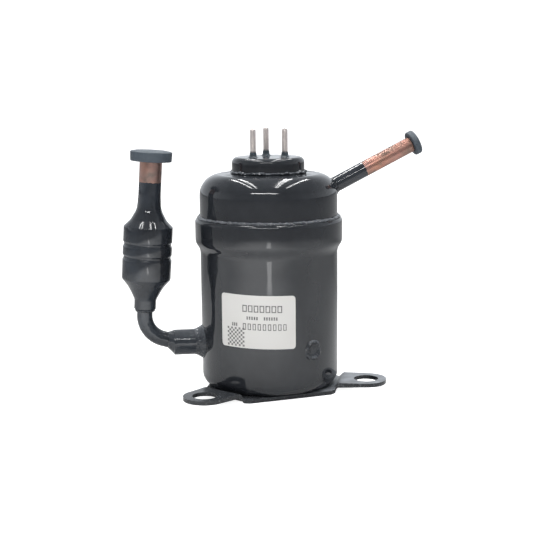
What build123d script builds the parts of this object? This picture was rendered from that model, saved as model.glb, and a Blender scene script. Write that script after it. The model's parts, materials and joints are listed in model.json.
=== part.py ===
"""Miniature hermetic rotary (rolling piston) refrigeration compressor, in millimetres.

The welded steel shell stands on its base plate with the crankshaft along +Z. The suction accumulator
hangs on the -X side, the discharge tube leaves the upper cap on the +X side. The origin is the centre
of the base plate's underside.
"""

import os
from math import cos, dist, radians, sin, tan

from build123d import *

os.makedirs("parts", exist_ok=True)

# ---- clearances ----------------------------------------------------------------------------------
fit_gap = 0.02  # between pieces that are pressed, brazed or fused together
slip_gap = 0.03  # between pieces that slide past each other
seat_gap = 0.05  # between pieces that rest on each other

# ---- shell and cap -------------------------------------------------------------------------------
shell_r = 28.0  # outside radius of the drawn shell
wall = 2.0  # thickness of the shell and the cap
shell_in_r = shell_r - wall
plate_t = 1.6  # base plate thickness; the shell's bottom rests on it
bottom_corner_r = 5.0
collar_r = 30.0  # the shell's mouth is expanded to take the cap's skirt
collar_start, collar_full, collar_top = 56.6, 61.6, 70.7
collar_in_r = shell_r + slip_gap
lip_r = 1.7
cap_skirt_bottom = 61.4
seam_half_w, seam_half_h = 0.95, 0.8
cap_knuckle_z, cap_knuckle_r = 79.8, 8.5
cap_apex_z = 89.6
cap_crown_r = 106.0  # large radius of the cap's top

# ---- base plate ----------------------------------------------------------------------------------
ear_azimuth = -18.0  # the ear on the right; the other two follow at 120 degrees
mount_pcd = 80.0
mount_hole_r = 4.95
ear_half_width, ear_root_half_width = 8.25, 9.3
ear_lift = 2.5  # the ears are joggled up above the plate's underside
hexagon_radial, hexagon_tangential = 28.0, 12.2  # corners of the plate beside each ear

# ---- electrical terminal -------------------------------------------------------------------------
cup_r, cup_top, cup_wall = 14.7, 95.0, 1.8
cup_weld_half_w, cup_weld_half_h = 0.7, 0.55
cap_opening_r = 12.6
pin_r, pin_circle_r = 1.15, 7.4
pin_azimuths = (-32.0, 88.0, 208.0)
pin_bottom, pin_top = 82.0, 106.4
pin_neck_r, pin_neck_top = 0.9, 95.4  # the pins are necked where the glass holds them
glass_r, glass_t = 2.3, 3.2
sleeve_t, sleeve_h = 0.3, 2.0
cup_edge_r = 2.2

# ---- discharge tube ------------------------------------------------------------------------------
tube_r = 3.175  # quarter inch copper
tube_wall = 0.8
swage_r = 2.9  # the inner end is sized down to locate in the cap's hole
discharge_azimuth, discharge_rise = 5.0, 25.8
discharge_root = (27.0, 82.2)  # radius and height where its axis meets the cap
discharge_inside = 7.0  # length inside the cap
discharge_out = 37.6  # length outside the cap

# ---- accumulator, drawn along its own leaning axis -----------------------------------------------
acc_lean = 3.85
acc_foot = (-51.2, 0.0, 34.3)  # the lower neck's end
acc_body_r, acc_wall = 9.9, 0.9
acc_neck_r = 4.5
acc_low_neck_r = 4.4
acc_taper_start, acc_body_start, acc_body_end = 3.6, 11.8, 33.8
acc_flare_end = 46.0
acc_top = 59.8
groove_heights = (21.3, 26.6)

# ---- suction stub and elbow ----------------------------------------------------------------------
stub_z = 19.8
stub_r, stub_wall, stub_mouth = 5.2, 1.0, 39.8
elbow_corner_r, entry_corner_r = 10.0, 12.0
elbow_slope = 17.0  # the elbow's last stretch falls towards the stub

# ---- pump ----------------------------------------------------------------------------------------
cylinder_bore_r, cylinder_h = 14.0, 10.0
eccentricity = 2.5
piston_gap = slip_gap  # running clearance of the piston, the vane and the bearings
piston_r = cylinder_bore_r - eccentricity - piston_gap
crankpin_r, shaft_r = 7.5, 4.0
cylinder_bottom = stub_z - cylinder_h / 2
cylinder_top = stub_z + cylinder_h / 2
flange_t, flange_r = 5.0, 22.0
hub_r = 7.5
upper_hub_top, lower_hub_bottom = 37.0, 6.6
vane_azimuth = 208.0
vane_w, vane_length = 3.2, 9.0
crank_azimuth = vane_azimuth + 135.0  # where the eccentric points at rest
discharge_port_azimuth, discharge_port_at = 236.0, 12.2
reed_clamp_azimuth, reed_clamp_at = 288.0, 11.4
valve_screw_r, valve_screw_head_r = 0.8, 1.5
plug_weld_azimuths = (-60.0, 60.0, 146.0)
bolt_circle_r, bolt_r = 18.4, 1.5
bolt_azimuths = (45.0, 135.0, 225.0, 315.0)

# ---- motor ---------------------------------------------------------------------------------------
stack_bottom, stack_top = 41.0, 57.0
stator_r = shell_in_r - seat_gap
stator_bore_r, yoke_in_r = 14.6, 22.4
slots, tooth_w, shoe_depth = 9, 4.6, 1.4
rotor_r = 14.1
rotor_core_r = 11.6
rivet_circle_r, rivet_r = 7.8, 0.8
weight_out_r, weight_in_r = 13.4, 5.6
magnet_count, magnet_r = 6, 13.8
coil_depth, coil_side = 4.9, 1.9
end_turn = 4.6
insulator_t = 1.0


def save(piece, node_name):
    """Labels a finished piece and writes its STEP file."""
    piece.part.label = node_name
    export_step(piece.part, f"parts/{node_name}.step")


def radial_plane(azimuth, distance, height):
    """A plane that faces outward, with its X along the tangent and its Y upward."""
    out = (cos(radians(azimuth)), sin(radians(azimuth)), 0)
    origin = (distance * out[0], distance * out[1], height)
    return Plane(origin=origin, x_dir=(-out[1], out[0], 0), z_dir=out)


def section_plane(azimuth):
    """A vertical plane through the crank's axis, with its X outward and its Y upward."""
    side = (sin(radians(azimuth)), -cos(radians(azimuth)), 0)
    return Plane(origin=(0, 0, 0), x_dir=(cos(radians(azimuth)), sin(radians(azimuth)), 0), z_dir=side)


def polar(radius, azimuth):
    """A point of the XY plane from its radius and azimuth."""
    return (radius * cos(radians(azimuth)), radius * sin(radians(azimuth)))


def crown_z(radius):
    """Height of the cap's outer crown at a radius."""
    return cap_apex_z - radius**2 / (2 * cap_crown_r)


# ==== base plate ==================================================================================
ear_reach = mount_pcd / 2 + ear_half_width
ear_root = 18.0
joggle_start, joggle_end = 26.6, 30.0
joggle_slant = 0.6  # the upper bends sit this much nearer the middle than the lower ones
ear_bend_r = 1.0
ear_flare = 8.0  # length over which each ear is widest, from its root
plate_corner_r = 2.0

with BuildPart() as ear:
    with BuildSketch(Plane.XZ):
        with BuildLine():
            Polyline(
                (ear_root, 0),
                (joggle_start, 0),
                (joggle_end, ear_lift),
                (ear_reach, ear_lift),
                (ear_reach, ear_lift + plate_t),
                (joggle_end - joggle_slant, ear_lift + plate_t),
                (joggle_start - joggle_slant, plate_t),
                (ear_root, plate_t),
                close=True,
            )
        make_face()
    extrude(amount=ear_root_half_width, both=True)
    across = ear.edges().filter_by(Axis.Y)
    bends = [edge for edge in across if ear_root + 1 < edge.center().X < ear_reach - 1]
    fillet(bends, ear_bend_r)
    with BuildSketch(Plane.XY):
        with BuildLine():
            Polyline(
                (ear_root, -ear_root_half_width),
                (ear_root + ear_flare, -ear_root_half_width),
                (mount_pcd / 2, -ear_half_width),
                (mount_pcd / 2, ear_half_width),
                (ear_root + ear_flare, ear_root_half_width),
                (ear_root, ear_root_half_width),
                close=True,
            )
        make_face()
        with Locations((mount_pcd / 2, 0)):
            Circle(ear_half_width)
            Circle(mount_hole_r, mode=Mode.SUBTRACT)
    extrude(amount=10, mode=Mode.INTERSECT)

ear_azimuths = [ear_azimuth + 120 * turn for turn in range(3)]
plate_corners = []
for azimuth in ear_azimuths:
    for side in (-1, 1):
        x, y = polar(hexagon_radial, azimuth)
        dx, dy = polar(side * hexagon_tangential, azimuth + 90)
        plate_corners.append((x + dx, y + dy))

with BuildPart() as base_plate:
    with BuildSketch(Plane.XY) as plate_outline:
        with BuildLine():
            Polyline(*plate_corners, close=True)
        make_face()
        fillet(plate_outline.vertices(), plate_corner_r)
    extrude(amount=plate_t)
    with PolarLocations(0, 3, start_angle=ear_azimuth):
        add(ear.part)
save(base_plate, "base_plate")


# ==== main shell ==================================================================================
shell_bottom = plate_t
inner_corner_r = bottom_corner_r - wall
skirt_gap = 0.3  # room below the cap's skirt
shell_step = 2.3  # height over which the shell's bore opens out to the collar
plug_hole_r, plug_bead_r, plug_bead_h = 3.0, 4.2, 1.1

with BuildPart() as main_shell:
    with BuildSketch(Plane.XZ):
        with BuildLine():
            Line((0, shell_bottom), (shell_r - bottom_corner_r, shell_bottom))
            RadiusArc(
                (shell_r - bottom_corner_r, shell_bottom),
                (shell_r, shell_bottom + bottom_corner_r),
                -bottom_corner_r,
            )
            Line((shell_r, shell_bottom + bottom_corner_r), (shell_r, collar_start))
            Spline((shell_r, collar_start), (collar_r, collar_full), tangents=((0, 1), (0, 1)))
            Line((collar_r, collar_full), (collar_r, collar_top - lip_r))
            RadiusArc((collar_r, collar_top - lip_r), (collar_r - lip_r, collar_top), -lip_r)
            Polyline(
                (collar_r - lip_r, collar_top),
                (collar_in_r, collar_top),
                (collar_in_r, cap_skirt_bottom - skirt_gap),
                (shell_in_r, cap_skirt_bottom - skirt_gap - shell_step),
                (shell_in_r, shell_bottom + wall + inner_corner_r),
            )
            RadiusArc(
                (shell_in_r, shell_bottom + wall + inner_corner_r),
                (shell_in_r - inner_corner_r, shell_bottom + wall),
                inner_corner_r,
            )
            Polyline(
                (shell_in_r - inner_corner_r, shell_bottom + wall),
                (0, shell_bottom + wall),
                (0, shell_bottom),
            )
        make_face()
    revolve(axis=Axis.Z)
    # hole for the suction stub
    with BuildSketch(radial_plane(180, shell_in_r - 2, stub_z)):
        Circle(stub_r + seat_gap)
    extrude(amount=6, mode=Mode.SUBTRACT)
    # holes through which the pump cylinder is plug welded
    for azimuth in plug_weld_azimuths:
        with BuildSketch(radial_plane(azimuth, shell_in_r - 2, stub_z)):
            Circle(plug_hole_r)
        extrude(amount=6, mode=Mode.SUBTRACT)
save(main_shell, "main_shell")


# ==== upper cap ===================================================================================
discharge_dir = (
    cos(radians(discharge_rise)) * cos(radians(discharge_azimuth)),
    cos(radians(discharge_rise)) * sin(radians(discharge_azimuth)),
    sin(radians(discharge_rise)),
)


def along_discharge(distance):
    """A plane across the discharge tube, a distance along it from the cap."""
    root = (*polar(discharge_root[0], discharge_azimuth), discharge_root[1])
    origin = tuple(root[i] + distance * discharge_dir[i] for i in range(3))
    return Plane(origin=origin, z_dir=discharge_dir)


knuckle_centre_r = shell_r - cap_knuckle_r
knuckle_top = (knuckle_centre_r + 1.0, crown_z(knuckle_centre_r + 1.0))
inner_knuckle_r = cap_knuckle_r - wall
half_turn = cos(radians(45))  # the middle of a quarter arc
opening_z = crown_z(cap_opening_r)

with BuildPart() as upper_cap:
    with BuildSketch(Plane.XZ):
        with BuildLine():
            Line((shell_in_r, cap_skirt_bottom), (shell_r, cap_skirt_bottom))
            Line((shell_r, cap_skirt_bottom), (shell_r, cap_knuckle_z))
            ThreePointArc(
                (shell_r, cap_knuckle_z),
                (knuckle_centre_r + cap_knuckle_r * half_turn, cap_knuckle_z + cap_knuckle_r * half_turn),
                knuckle_top,
            )
            ThreePointArc(
                knuckle_top,
                (cap_opening_r + 4, crown_z(cap_opening_r + 4)),
                (cap_opening_r, opening_z),
            )
            Line((cap_opening_r, opening_z), (cap_opening_r, opening_z - wall))
            Line((cap_opening_r, opening_z - wall), (knuckle_centre_r, crown_z(knuckle_centre_r) - wall))
            ThreePointArc(
                (knuckle_centre_r, crown_z(knuckle_centre_r) - wall),
                (knuckle_centre_r + inner_knuckle_r * half_turn, cap_knuckle_z + inner_knuckle_r * half_turn),
                (shell_in_r, cap_knuckle_z),
            )
            Line((shell_in_r, cap_knuckle_z), (shell_in_r, cap_skirt_bottom))
        make_face()
    revolve(axis=Axis.Z)
    with BuildSketch(along_discharge(-6)):
        Circle(swage_r + slip_gap)
    extrude(amount=12, mode=Mode.SUBTRACT)
save(upper_cap, "upper_cap")

with BuildPart() as seam_weld:
    with BuildSketch(Plane.XZ):
        with Locations((shell_r + 0.3, collar_top + 0.1)):
            Ellipse(seam_half_w, seam_half_h)
    revolve(axis=Axis.Z)
save(seam_weld, "seam_weld")

with BuildPart() as plug_welds:
    for azimuth in plug_weld_azimuths:
        with BuildSketch(radial_plane(azimuth, shell_in_r, stub_z)):
            Circle(plug_hole_r - seat_gap)
        extrude(amount=wall)
        with BuildSketch(radial_plane(azimuth, shell_r - 0.5, stub_z)):
            Circle(plug_bead_r)
        extrude(amount=plug_bead_h, taper=35)
save(plug_welds, "plug_welds")


# ==== electrical terminal =========================================================================
cup_bottom = crown_z(cup_r - cup_wall) + seat_gap  # the cup's rim stands on the crown

with BuildPart() as terminal_cup:
    with BuildSketch(Plane.XY.offset(cup_bottom)):
        Circle(cup_r)
    extrude(amount=cup_top - cup_bottom)
    fillet(terminal_cup.faces().sort_by(Axis.Z)[-1].edges(), cup_edge_r)
    with BuildSketch(Plane.XY.offset(cup_bottom)):
        Circle(cup_r - cup_wall)
    extrude(amount=cup_top - cup_bottom - cup_wall, mode=Mode.SUBTRACT)
    with BuildSketch(Plane.XY.offset(cup_bottom)):
        with Locations(*[polar(pin_circle_r, azimuth) for azimuth in pin_azimuths]):
            Circle(glass_r)
    extrude(amount=10, mode=Mode.SUBTRACT)
save(terminal_cup, "terminal_cup")

with BuildPart() as terminal_weld:
    with BuildSketch(Plane.XZ):
        with Locations((cup_r + seat_gap, cup_bottom)):
            Ellipse(cup_weld_half_w, cup_weld_half_h)
    revolve(axis=Axis.Z)
save(terminal_weld, "terminal_weld")

with BuildPart() as glass_seals:
    with BuildSketch(Plane.XY.offset(cup_top - glass_t)):
        with Locations(*[polar(pin_circle_r, azimuth) for azimuth in pin_azimuths]):
            Circle(glass_r - fit_gap)
            Circle(pin_neck_r + fit_gap, mode=Mode.SUBTRACT)
    extrude(amount=glass_t)
    # each bead climbs its pin as a short sleeve
    with BuildSketch(Plane.XY.offset(cup_top)):
        with Locations(*[polar(pin_circle_r, azimuth) for azimuth in pin_azimuths]):
            Circle(pin_r + sleeve_t)
            Circle(pin_r + fit_gap, mode=Mode.SUBTRACT)
    extrude(amount=sleeve_h)
save(glass_seals, "glass_seals")

with BuildPart() as terminal_pins:
    with BuildSketch(Plane.XY.offset(pin_bottom)):
        with Locations(*[polar(pin_circle_r, azimuth) for azimuth in pin_azimuths]):
            Circle(pin_neck_r)
    extrude(amount=pin_neck_top - pin_bottom)
    with BuildSketch(Plane.XY.offset(pin_neck_top)):
        with Locations(*[polar(pin_circle_r, azimuth) for azimuth in pin_azimuths]):
            Circle(pin_r)
    extrude(amount=pin_top - pin_neck_top)
    fillet(terminal_pins.edges().group_by(Axis.Z)[-1], 0.7)
save(terminal_pins, "terminal_pins")

block_bottom, block_top, block_r = 79.0, 86.0, 11.0
socket_depth = 4.2

with BuildPart() as lead_connector:
    with BuildSketch(Plane.XY.offset(block_bottom)):
        Circle(block_r)
    extrude(amount=block_top - block_bottom)
    chamfer(lead_connector.edges().group_by(Axis.Z)[-1], 0.8)
    with BuildSketch(Plane.XY.offset(block_top)):
        with Locations(*[polar(pin_circle_r, azimuth) for azimuth in pin_azimuths]):
            Circle(pin_neck_r + seat_gap)
    extrude(amount=-socket_depth, mode=Mode.SUBTRACT)
save(lead_connector, "lead_connector")

lead_r = 0.9
lead_foot_r, lead_foot_z = 19.0, stack_top + insulator_t + end_turn + 0.6

with BuildPart() as motor_leads:
    for azimuth in pin_azimuths:
        foot = polar(lead_foot_r, azimuth + 35)
        bend = polar(17.0, azimuth + 20)
        head = polar(pin_circle_r, azimuth)
        with BuildLine() as lead_path:
            FilletPolyline(
                (*foot, lead_foot_z),
                (*foot, lead_foot_z + 5),
                (*bend, lead_foot_z + 9),
                (*head, lead_foot_z + 10.5),
                (*head, block_bottom),
                radius=(2.4, 2.0, 2.0),
            )
        with BuildSketch(Plane(origin=(*foot, lead_foot_z), z_dir=(0, 0, 1))):
            Circle(lead_r)
        sweep(path=lead_path.line)
save(motor_leads, "motor_leads")


# ==== discharge tube ==============================================================================
swage_end = 1.5  # how far outside the cap the full diameter starts

with BuildPart() as discharge_tube:
    with BuildSketch(along_discharge(-discharge_inside)):
        Circle(swage_r)
    extrude(amount=discharge_inside + swage_end)
    with BuildSketch(along_discharge(swage_end)):
        Circle(tube_r)
    extrude(amount=discharge_out - swage_end)
    with BuildSketch(along_discharge(-discharge_inside)):
        Circle(tube_r - tube_wall)
    extrude(amount=discharge_inside + discharge_out, mode=Mode.SUBTRACT)
save(discharge_tube, "discharge_tube")

with BuildPart() as discharge_braze:
    with BuildSketch(along_discharge(-1.2)):
        Circle(tube_r + 1.1)
    extrude(amount=2.6, taper=20)
    with BuildSketch(along_discharge(-1.2)):
        Circle(swage_r + fit_gap)
    extrude(amount=2.6, mode=Mode.SUBTRACT)
save(discharge_braze, "discharge_braze")

plug_stem = 9.0  # length of each rubber plug's stem inside its tube
plug_edge_r = 0.5
discharge_plug_r, discharge_plug_t = 5.1, 2.7
suction_plug_r, suction_plug_t = 8.5, 4.3

with BuildPart() as discharge_plug:
    with BuildSketch(along_discharge(discharge_out + seat_gap)):
        Circle(discharge_plug_r)
    extrude(amount=discharge_plug_t)
    fillet(discharge_plug.edges(), plug_edge_r)
    with BuildSketch(along_discharge(discharge_out - plug_stem)):
        Circle(tube_r - tube_wall - seat_gap)
    extrude(amount=plug_stem + 0.2)
save(discharge_plug, "discharge_plug")


# ==== accumulator =================================================================================
acc_axis = (sin(radians(acc_lean)), 0, cos(radians(acc_lean)))
acc_across = (cos(radians(acc_lean)), 0, -sin(radians(acc_lean)))
acc_section = Plane(origin=acc_foot, x_dir=acc_across, z_dir=(0, -1, 0))
acc_turn = Axis(origin=acc_foot, direction=acc_axis)
acc_base = Plane(origin=acc_foot, x_dir=acc_across, z_dir=acc_axis)

with BuildPart() as accumulator_shell:
    with BuildSketch(acc_section):
        with BuildLine():
            Polyline((0, 0), (acc_low_neck_r, 0), (acc_low_neck_r, acc_taper_start))
            Spline(
                (acc_low_neck_r, acc_taper_start),
                (6.6, 8.1),
                (acc_body_r - 0.2, acc_body_start),
                tangents=((0.25, 1), (0.55, 1)),
            )
            Line((acc_body_r - 0.2, acc_body_start), (acc_body_r, acc_body_start + 0.8))
            Line((acc_body_r, acc_body_start + 0.8), (acc_body_r, acc_body_end - 0.5))
            Line((acc_body_r, acc_body_end - 0.5), (acc_body_r - 0.3, acc_body_end))
            Spline(
                (acc_body_r - 0.3, acc_body_end),
                (7.0, acc_body_end + 3.5),
                (5.25, acc_body_end + 7.0),
                (acc_neck_r, acc_flare_end),
                tangents=((-1, 0.75), (-0.05, 1)),
            )
            Polyline((acc_neck_r, acc_flare_end), (acc_neck_r, acc_top), (0, acc_top), (0, 0))
        make_face()
    revolve(axis=acc_turn)
    for height in groove_heights:
        with BuildSketch(acc_section):
            with Locations((acc_body_r + 0.35, height)):
                Circle(0.7)
        revolve(axis=acc_turn, mode=Mode.SUBTRACT)
    # the hollow, one wall thickness inside
    with BuildSketch(acc_section):
        with BuildLine():
            Polyline(
                (0, -1),
                (acc_low_neck_r - acc_wall, -1),
                (acc_low_neck_r - acc_wall, acc_taper_start),
                (acc_body_r - acc_wall - 0.6, acc_body_start + 0.4),
                (acc_body_r - acc_wall - 0.6, acc_body_end - 1.0),
                (5.7, acc_body_end + 3.0),
                (acc_neck_r - acc_wall, acc_flare_end - 3.0),
                (acc_neck_r - acc_wall, acc_top + 1),
                (0, acc_top + 1),
                close=True,
            )
        make_face()
    revolve(axis=acc_turn, mode=Mode.SUBTRACT)
save(accumulator_shell, "accumulator_shell")

acc_inside_r = acc_body_r - acc_wall - 0.6
standpipe_top = 28.6  # height of the standpipe's mouth along the accumulator

with BuildPart() as accumulator_baffle:
    with BuildSketch(acc_base.offset(23.6)):
        Circle(acc_inside_r - fit_gap)
        Circle(tube_r + slip_gap, mode=Mode.SUBTRACT)
        with PolarLocations(5.8, 6):
            Circle(1.0, mode=Mode.SUBTRACT)
    extrude(amount=0.8)
save(accumulator_baffle, "accumulator_baffle")

with BuildPart() as accumulator_screen:
    with BuildSketch(acc_base.offset(30.8)):
        Circle(acc_inside_r - fit_gap)
        for ring in range(1, 5):
            with PolarLocations(1.6 * ring, 6 * ring):
                Circle(0.5, mode=Mode.SUBTRACT)
    extrude(amount=0.4)
save(accumulator_screen, "accumulator_screen")

with BuildPart() as suction_plug:
    with BuildSketch(acc_base.offset(acc_top + seat_gap)):
        Circle(suction_plug_r)
    extrude(amount=suction_plug_t)
    fillet(suction_plug.edges(), plug_edge_r)
    with BuildSketch(acc_base.offset(acc_top - plug_stem)):
        Circle(acc_neck_r - acc_wall - seat_gap)
    extrude(amount=plug_stem + 0.2)
save(suction_plug, "suction_plug")


# ==== suction stub and elbow ======================================================================
with BuildPart() as suction_stub:
    with BuildSketch(radial_plane(180, shell_in_r + 0.4, stub_z)):
        Circle(stub_r)
        Circle(stub_r - stub_wall, mode=Mode.SUBTRACT)
    extrude(amount=stub_mouth - shell_in_r - 0.4)
save(suction_stub, "suction_stub")

with BuildPart() as stub_weld:
    with BuildSketch(section_plane(180)):
        with BuildLine():
            Polyline(
                (shell_r - 1.2, stub_z + stub_r + 0.01),
                (shell_r + 4.6, stub_z + stub_r + 0.01),
                (shell_r + 2.0, stub_z + stub_r + 0.8),
                (shell_r - 0.6, stub_z + stub_r + 2.2),
                (shell_r - 1.2, stub_z + stub_r + 2.2),
                close=True,
            )
        make_face()
    revolve(axis=Axis(origin=(0, 0, stub_z), direction=(-1, 0, 0)))
save(stub_weld, "stub_weld")

# The elbow is one copper tube: standpipe inside the accumulator, quarter bend, and the run into the
# pump cylinder's suction port.
slope = radians(elbow_slope)
entry_corner = (-(stub_mouth - 1.4), stub_z)
lean = radians(acc_lean)
# the accumulator's axis and the sloping run meet where entry + t*(run) = foot + s*(down the axis)
run_rise = tan(slope)
drop = (acc_foot[2] - entry_corner[1] - run_rise * (entry_corner[0] - acc_foot[0])) / (
    cos(lean) + run_rise * sin(lean)
)
elbow_corner = (acc_foot[0] - drop * sin(lean), acc_foot[2] - drop * cos(lean))
standpipe_mouth = (
    acc_foot[0] + standpipe_top * sin(lean),
    acc_foot[2] + standpipe_top * cos(lean),
)
suction_port_end = 24.6

with BuildPart() as suction_elbow:
    with BuildLine() as elbow_path:
        FilletPolyline(
            (standpipe_mouth[0], 0, standpipe_mouth[1]),
            (elbow_corner[0], 0, elbow_corner[1]),
            (entry_corner[0], 0, entry_corner[1]),
            (-suction_port_end, 0, stub_z),
            radius=(elbow_corner_r, entry_corner_r),
        )
    with BuildSketch(acc_base.offset(standpipe_top)):
        Circle(tube_r)
        Circle(tube_r - tube_wall, mode=Mode.SUBTRACT)
    sweep(path=elbow_path.line)
save(suction_elbow, "suction_elbow")

with BuildPart() as elbow_braze:
    with BuildSketch(radial_plane(180, stub_mouth + fit_gap, stub_z + 0.2)):
        Circle(stub_r - 0.1)
    with BuildSketch(radial_plane(180, stub_mouth + 2.4, stub_z + 1.0)):
        Circle(tube_r + 0.2)
    loft()
save(elbow_braze, "elbow_braze")

with BuildPart() as accumulator_braze:
    with BuildSketch(acc_base.offset(-1.4)):
        Circle(tube_r + 0.25)
    with BuildSketch(acc_base.offset(0)):
        Circle(acc_low_neck_r - 0.1)
    loft()
    with BuildSketch(acc_base.offset(-1.6)):
        Circle(tube_r + 0.01)
    extrude(amount=3, mode=Mode.SUBTRACT)
save(accumulator_braze, "accumulator_braze")


# ==== rating label ================================================================================
label_azimuth, label_span = -108.4, 64.2
label_bottom, label_top = 21.7, 43.3
label_t = 0.12

with BuildPart() as rating_label:
    with BuildSketch(Plane.XY.offset(label_bottom)):
        Circle(shell_r + fit_gap + label_t)
        Circle(shell_r + fit_gap, mode=Mode.SUBTRACT)
    extrude(amount=label_top - label_bottom)
    with BuildSketch(radial_plane(label_azimuth, 10, (label_bottom + label_top) / 2)):
        RectangleRounded(2 * shell_r * sin(radians(label_span / 2)), label_top - label_bottom, 1.3)
    extrude(amount=30, mode=Mode.INTERSECT)
save(rating_label, "rating_label")


# ==== pump cylinder and bearings ==================================================================
slot_end = 24.2
spring_hole_r, spring_seat = 2.4, 19.9
suction_passage_r = 2.5

with BuildPart() as pump_cylinder:
    with BuildSketch(Plane.XY.offset(cylinder_bottom)):
        Circle(shell_in_r - seat_gap)
        Circle(cylinder_bore_r, mode=Mode.SUBTRACT)
        # slots that let oil and gas past the cylinder
        with PolarLocations(22.6, 3, start_angle=0):
            SlotCenterToCenter(5, 2.6, rotation=90, mode=Mode.SUBTRACT)
        with Locations(*[polar(bolt_circle_r, azimuth) for azimuth in bolt_azimuths]):
            Circle(bolt_r + fit_gap, mode=Mode.SUBTRACT)
    extrude(amount=cylinder_h)
    # vane slot
    with BuildSketch(radial_plane(vane_azimuth, cylinder_bore_r - 1, stub_z)):
        Rectangle(vane_w + 2 * piston_gap, cylinder_h)
    extrude(amount=slot_end - cylinder_bore_r + 1, mode=Mode.SUBTRACT)
    # spring hole behind the vane
    with BuildSketch(radial_plane(vane_azimuth, spring_seat - 0.3, stub_z)):
        Circle(spring_hole_r)
    extrude(amount=10, mode=Mode.SUBTRACT)
    # suction port, wide for the elbow's end and narrower into the bore
    with BuildSketch(radial_plane(180, suction_port_end - 5, stub_z)):
        Circle(tube_r + slip_gap)
    extrude(amount=10, mode=Mode.SUBTRACT)
    with BuildSketch(radial_plane(180, cylinder_bore_r - 1.5, stub_z)):
        Circle(suction_passage_r)
    extrude(amount=10, mode=Mode.SUBTRACT)
save(pump_cylinder, "pump_cylinder")

discharge_port = polar(discharge_port_at, discharge_port_azimuth)
reed_clamp = polar(reed_clamp_at, reed_clamp_azimuth)
reed_reach = dist(discharge_port, reed_clamp)
reed_plane = Plane(
    origin=(*discharge_port, cylinder_top + flange_t),
    x_dir=(reed_clamp[0] - discharge_port[0], reed_clamp[1] - discharge_port[1], 0),
    z_dir=(0, 0, 1),
)

with BuildPart() as main_bearing:
    with BuildSketch(Plane.XY.offset(cylinder_top)):
        Circle(flange_r)
        with Locations(*[polar(bolt_circle_r, azimuth) for azimuth in bolt_azimuths]):
            Circle(bolt_r + 0.1, mode=Mode.SUBTRACT)
        with Locations(discharge_port):
            Circle(1.5, mode=Mode.SUBTRACT)
    extrude(amount=flange_t)
    with BuildSketch(Plane.XY.offset(cylinder_top)):
        Circle(hub_r)
    extrude(amount=upper_hub_top - cylinder_top)
    # tapped hole of the valve screw
    with BuildSketch(reed_plane):
        with Locations((reed_reach, 0)):
            Circle(valve_screw_r + fit_gap)
    extrude(amount=-3, mode=Mode.SUBTRACT)
    Hole(radius=shaft_r + piston_gap)
save(main_bearing, "main_bearing")

with BuildPart() as lower_bearing:
    with BuildSketch(Plane.XY.offset(cylinder_bottom)):
        Circle(flange_r)
        with Locations(*[polar(bolt_circle_r, azimuth) for azimuth in bolt_azimuths]):
            Circle(bolt_r + 0.1, mode=Mode.SUBTRACT)
    extrude(amount=-flange_t)
    with BuildSketch(Plane.XY.offset(lower_hub_bottom)):
        Circle(hub_r)
    extrude(amount=cylinder_bottom - lower_hub_bottom)
    Hole(radius=shaft_r + piston_gap)
save(lower_bearing, "lower_bearing")

muffler_r, muffler_h, muffler_t = 15.5, 5.0, 0.7
muffler_base = cylinder_top + flange_t + fit_gap

with BuildPart() as discharge_muffler:
    with BuildSketch(Plane.XY.offset(muffler_base)):
        Circle(flange_r - 0.5)
    extrude(amount=muffler_t)
    with BuildSketch(Plane.XY.offset(muffler_base)):
        Circle(muffler_r)
    extrude(amount=muffler_h)
    fillet(discharge_muffler.faces().sort_by(Axis.Z)[-1].edges(), 1.5)
    with BuildSketch(Plane.XY.offset(muffler_base)):
        Circle(muffler_r - muffler_t)
    extrude(amount=muffler_h - muffler_t, mode=Mode.SUBTRACT)
    with BuildSketch(Plane.XY.offset(muffler_base)):
        Circle(hub_r + slip_gap)
        with PolarLocations(11.5, 3, start_angle=10):
            Circle(1.6)
        with Locations(*[polar(bolt_circle_r, azimuth) for azimuth in bolt_azimuths]):
            Circle(bolt_r + 0.1)
    extrude(amount=muffler_h + 1, mode=Mode.SUBTRACT)
save(discharge_muffler, "discharge_muffler")

head_r, head_h = 2.6, 2.4
thread_reach = 4.5  # how far each bolt enters the cylinder
bolt_sets = (
    ("upper_pump_bolts", cylinder_top - thread_reach, muffler_base + muffler_t + fit_gap, 1),
    ("lower_pump_bolts", cylinder_bottom + thread_reach, cylinder_bottom - flange_t - fit_gap, -1),
)

for node_name, tip, head_base, direction in bolt_sets:
    with BuildPart() as pump_bolts:
        with BuildSketch(Plane.XY.offset(tip)):
            with Locations(*[polar(bolt_circle_r, azimuth) for azimuth in bolt_azimuths]):
                Circle(bolt_r)
        extrude(amount=head_base - tip)
        with BuildSketch(Plane.XY.offset(head_base)):
            with Locations(*[polar(bolt_circle_r, azimuth) for azimuth in bolt_azimuths]):
                Circle(head_r)
        extrude(amount=direction * head_h)
        # hexagon sockets in the outer faces
        with BuildSketch(Plane.XY.offset(head_base + direction * head_h)):
            with Locations(*[polar(bolt_circle_r, azimuth) for azimuth in bolt_azimuths]):
                RegularPolygon(1.25, 6, major_radius=False)
        extrude(amount=-direction * 1.3, mode=Mode.SUBTRACT)
    save(pump_bolts, node_name)


# ==== discharge valve =============================================================================
reed_t, reed_gap = 0.25, 0.05
reed_hinge_at = reed_reach + 2.6  # the reed flexes about its clamped end

with BuildPart() as discharge_reed:
    with BuildSketch(reed_plane.offset(reed_gap)):
        Circle(2.4)
        with Locations((reed_hinge_at / 2, 0)):
            Rectangle(reed_hinge_at, 2.6)
        with Locations((reed_reach, 0)):
            Circle(2.3)
            Circle(1.3, mode=Mode.SUBTRACT)
    extrude(amount=reed_t)
save(discharge_reed, "discharge_reed")

reed_travel = 0.5  # room under the stop's clamped end
stop_t, stop_rise = 0.6, 1.15
stop_start = reed_gap + reed_t + reed_travel

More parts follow.
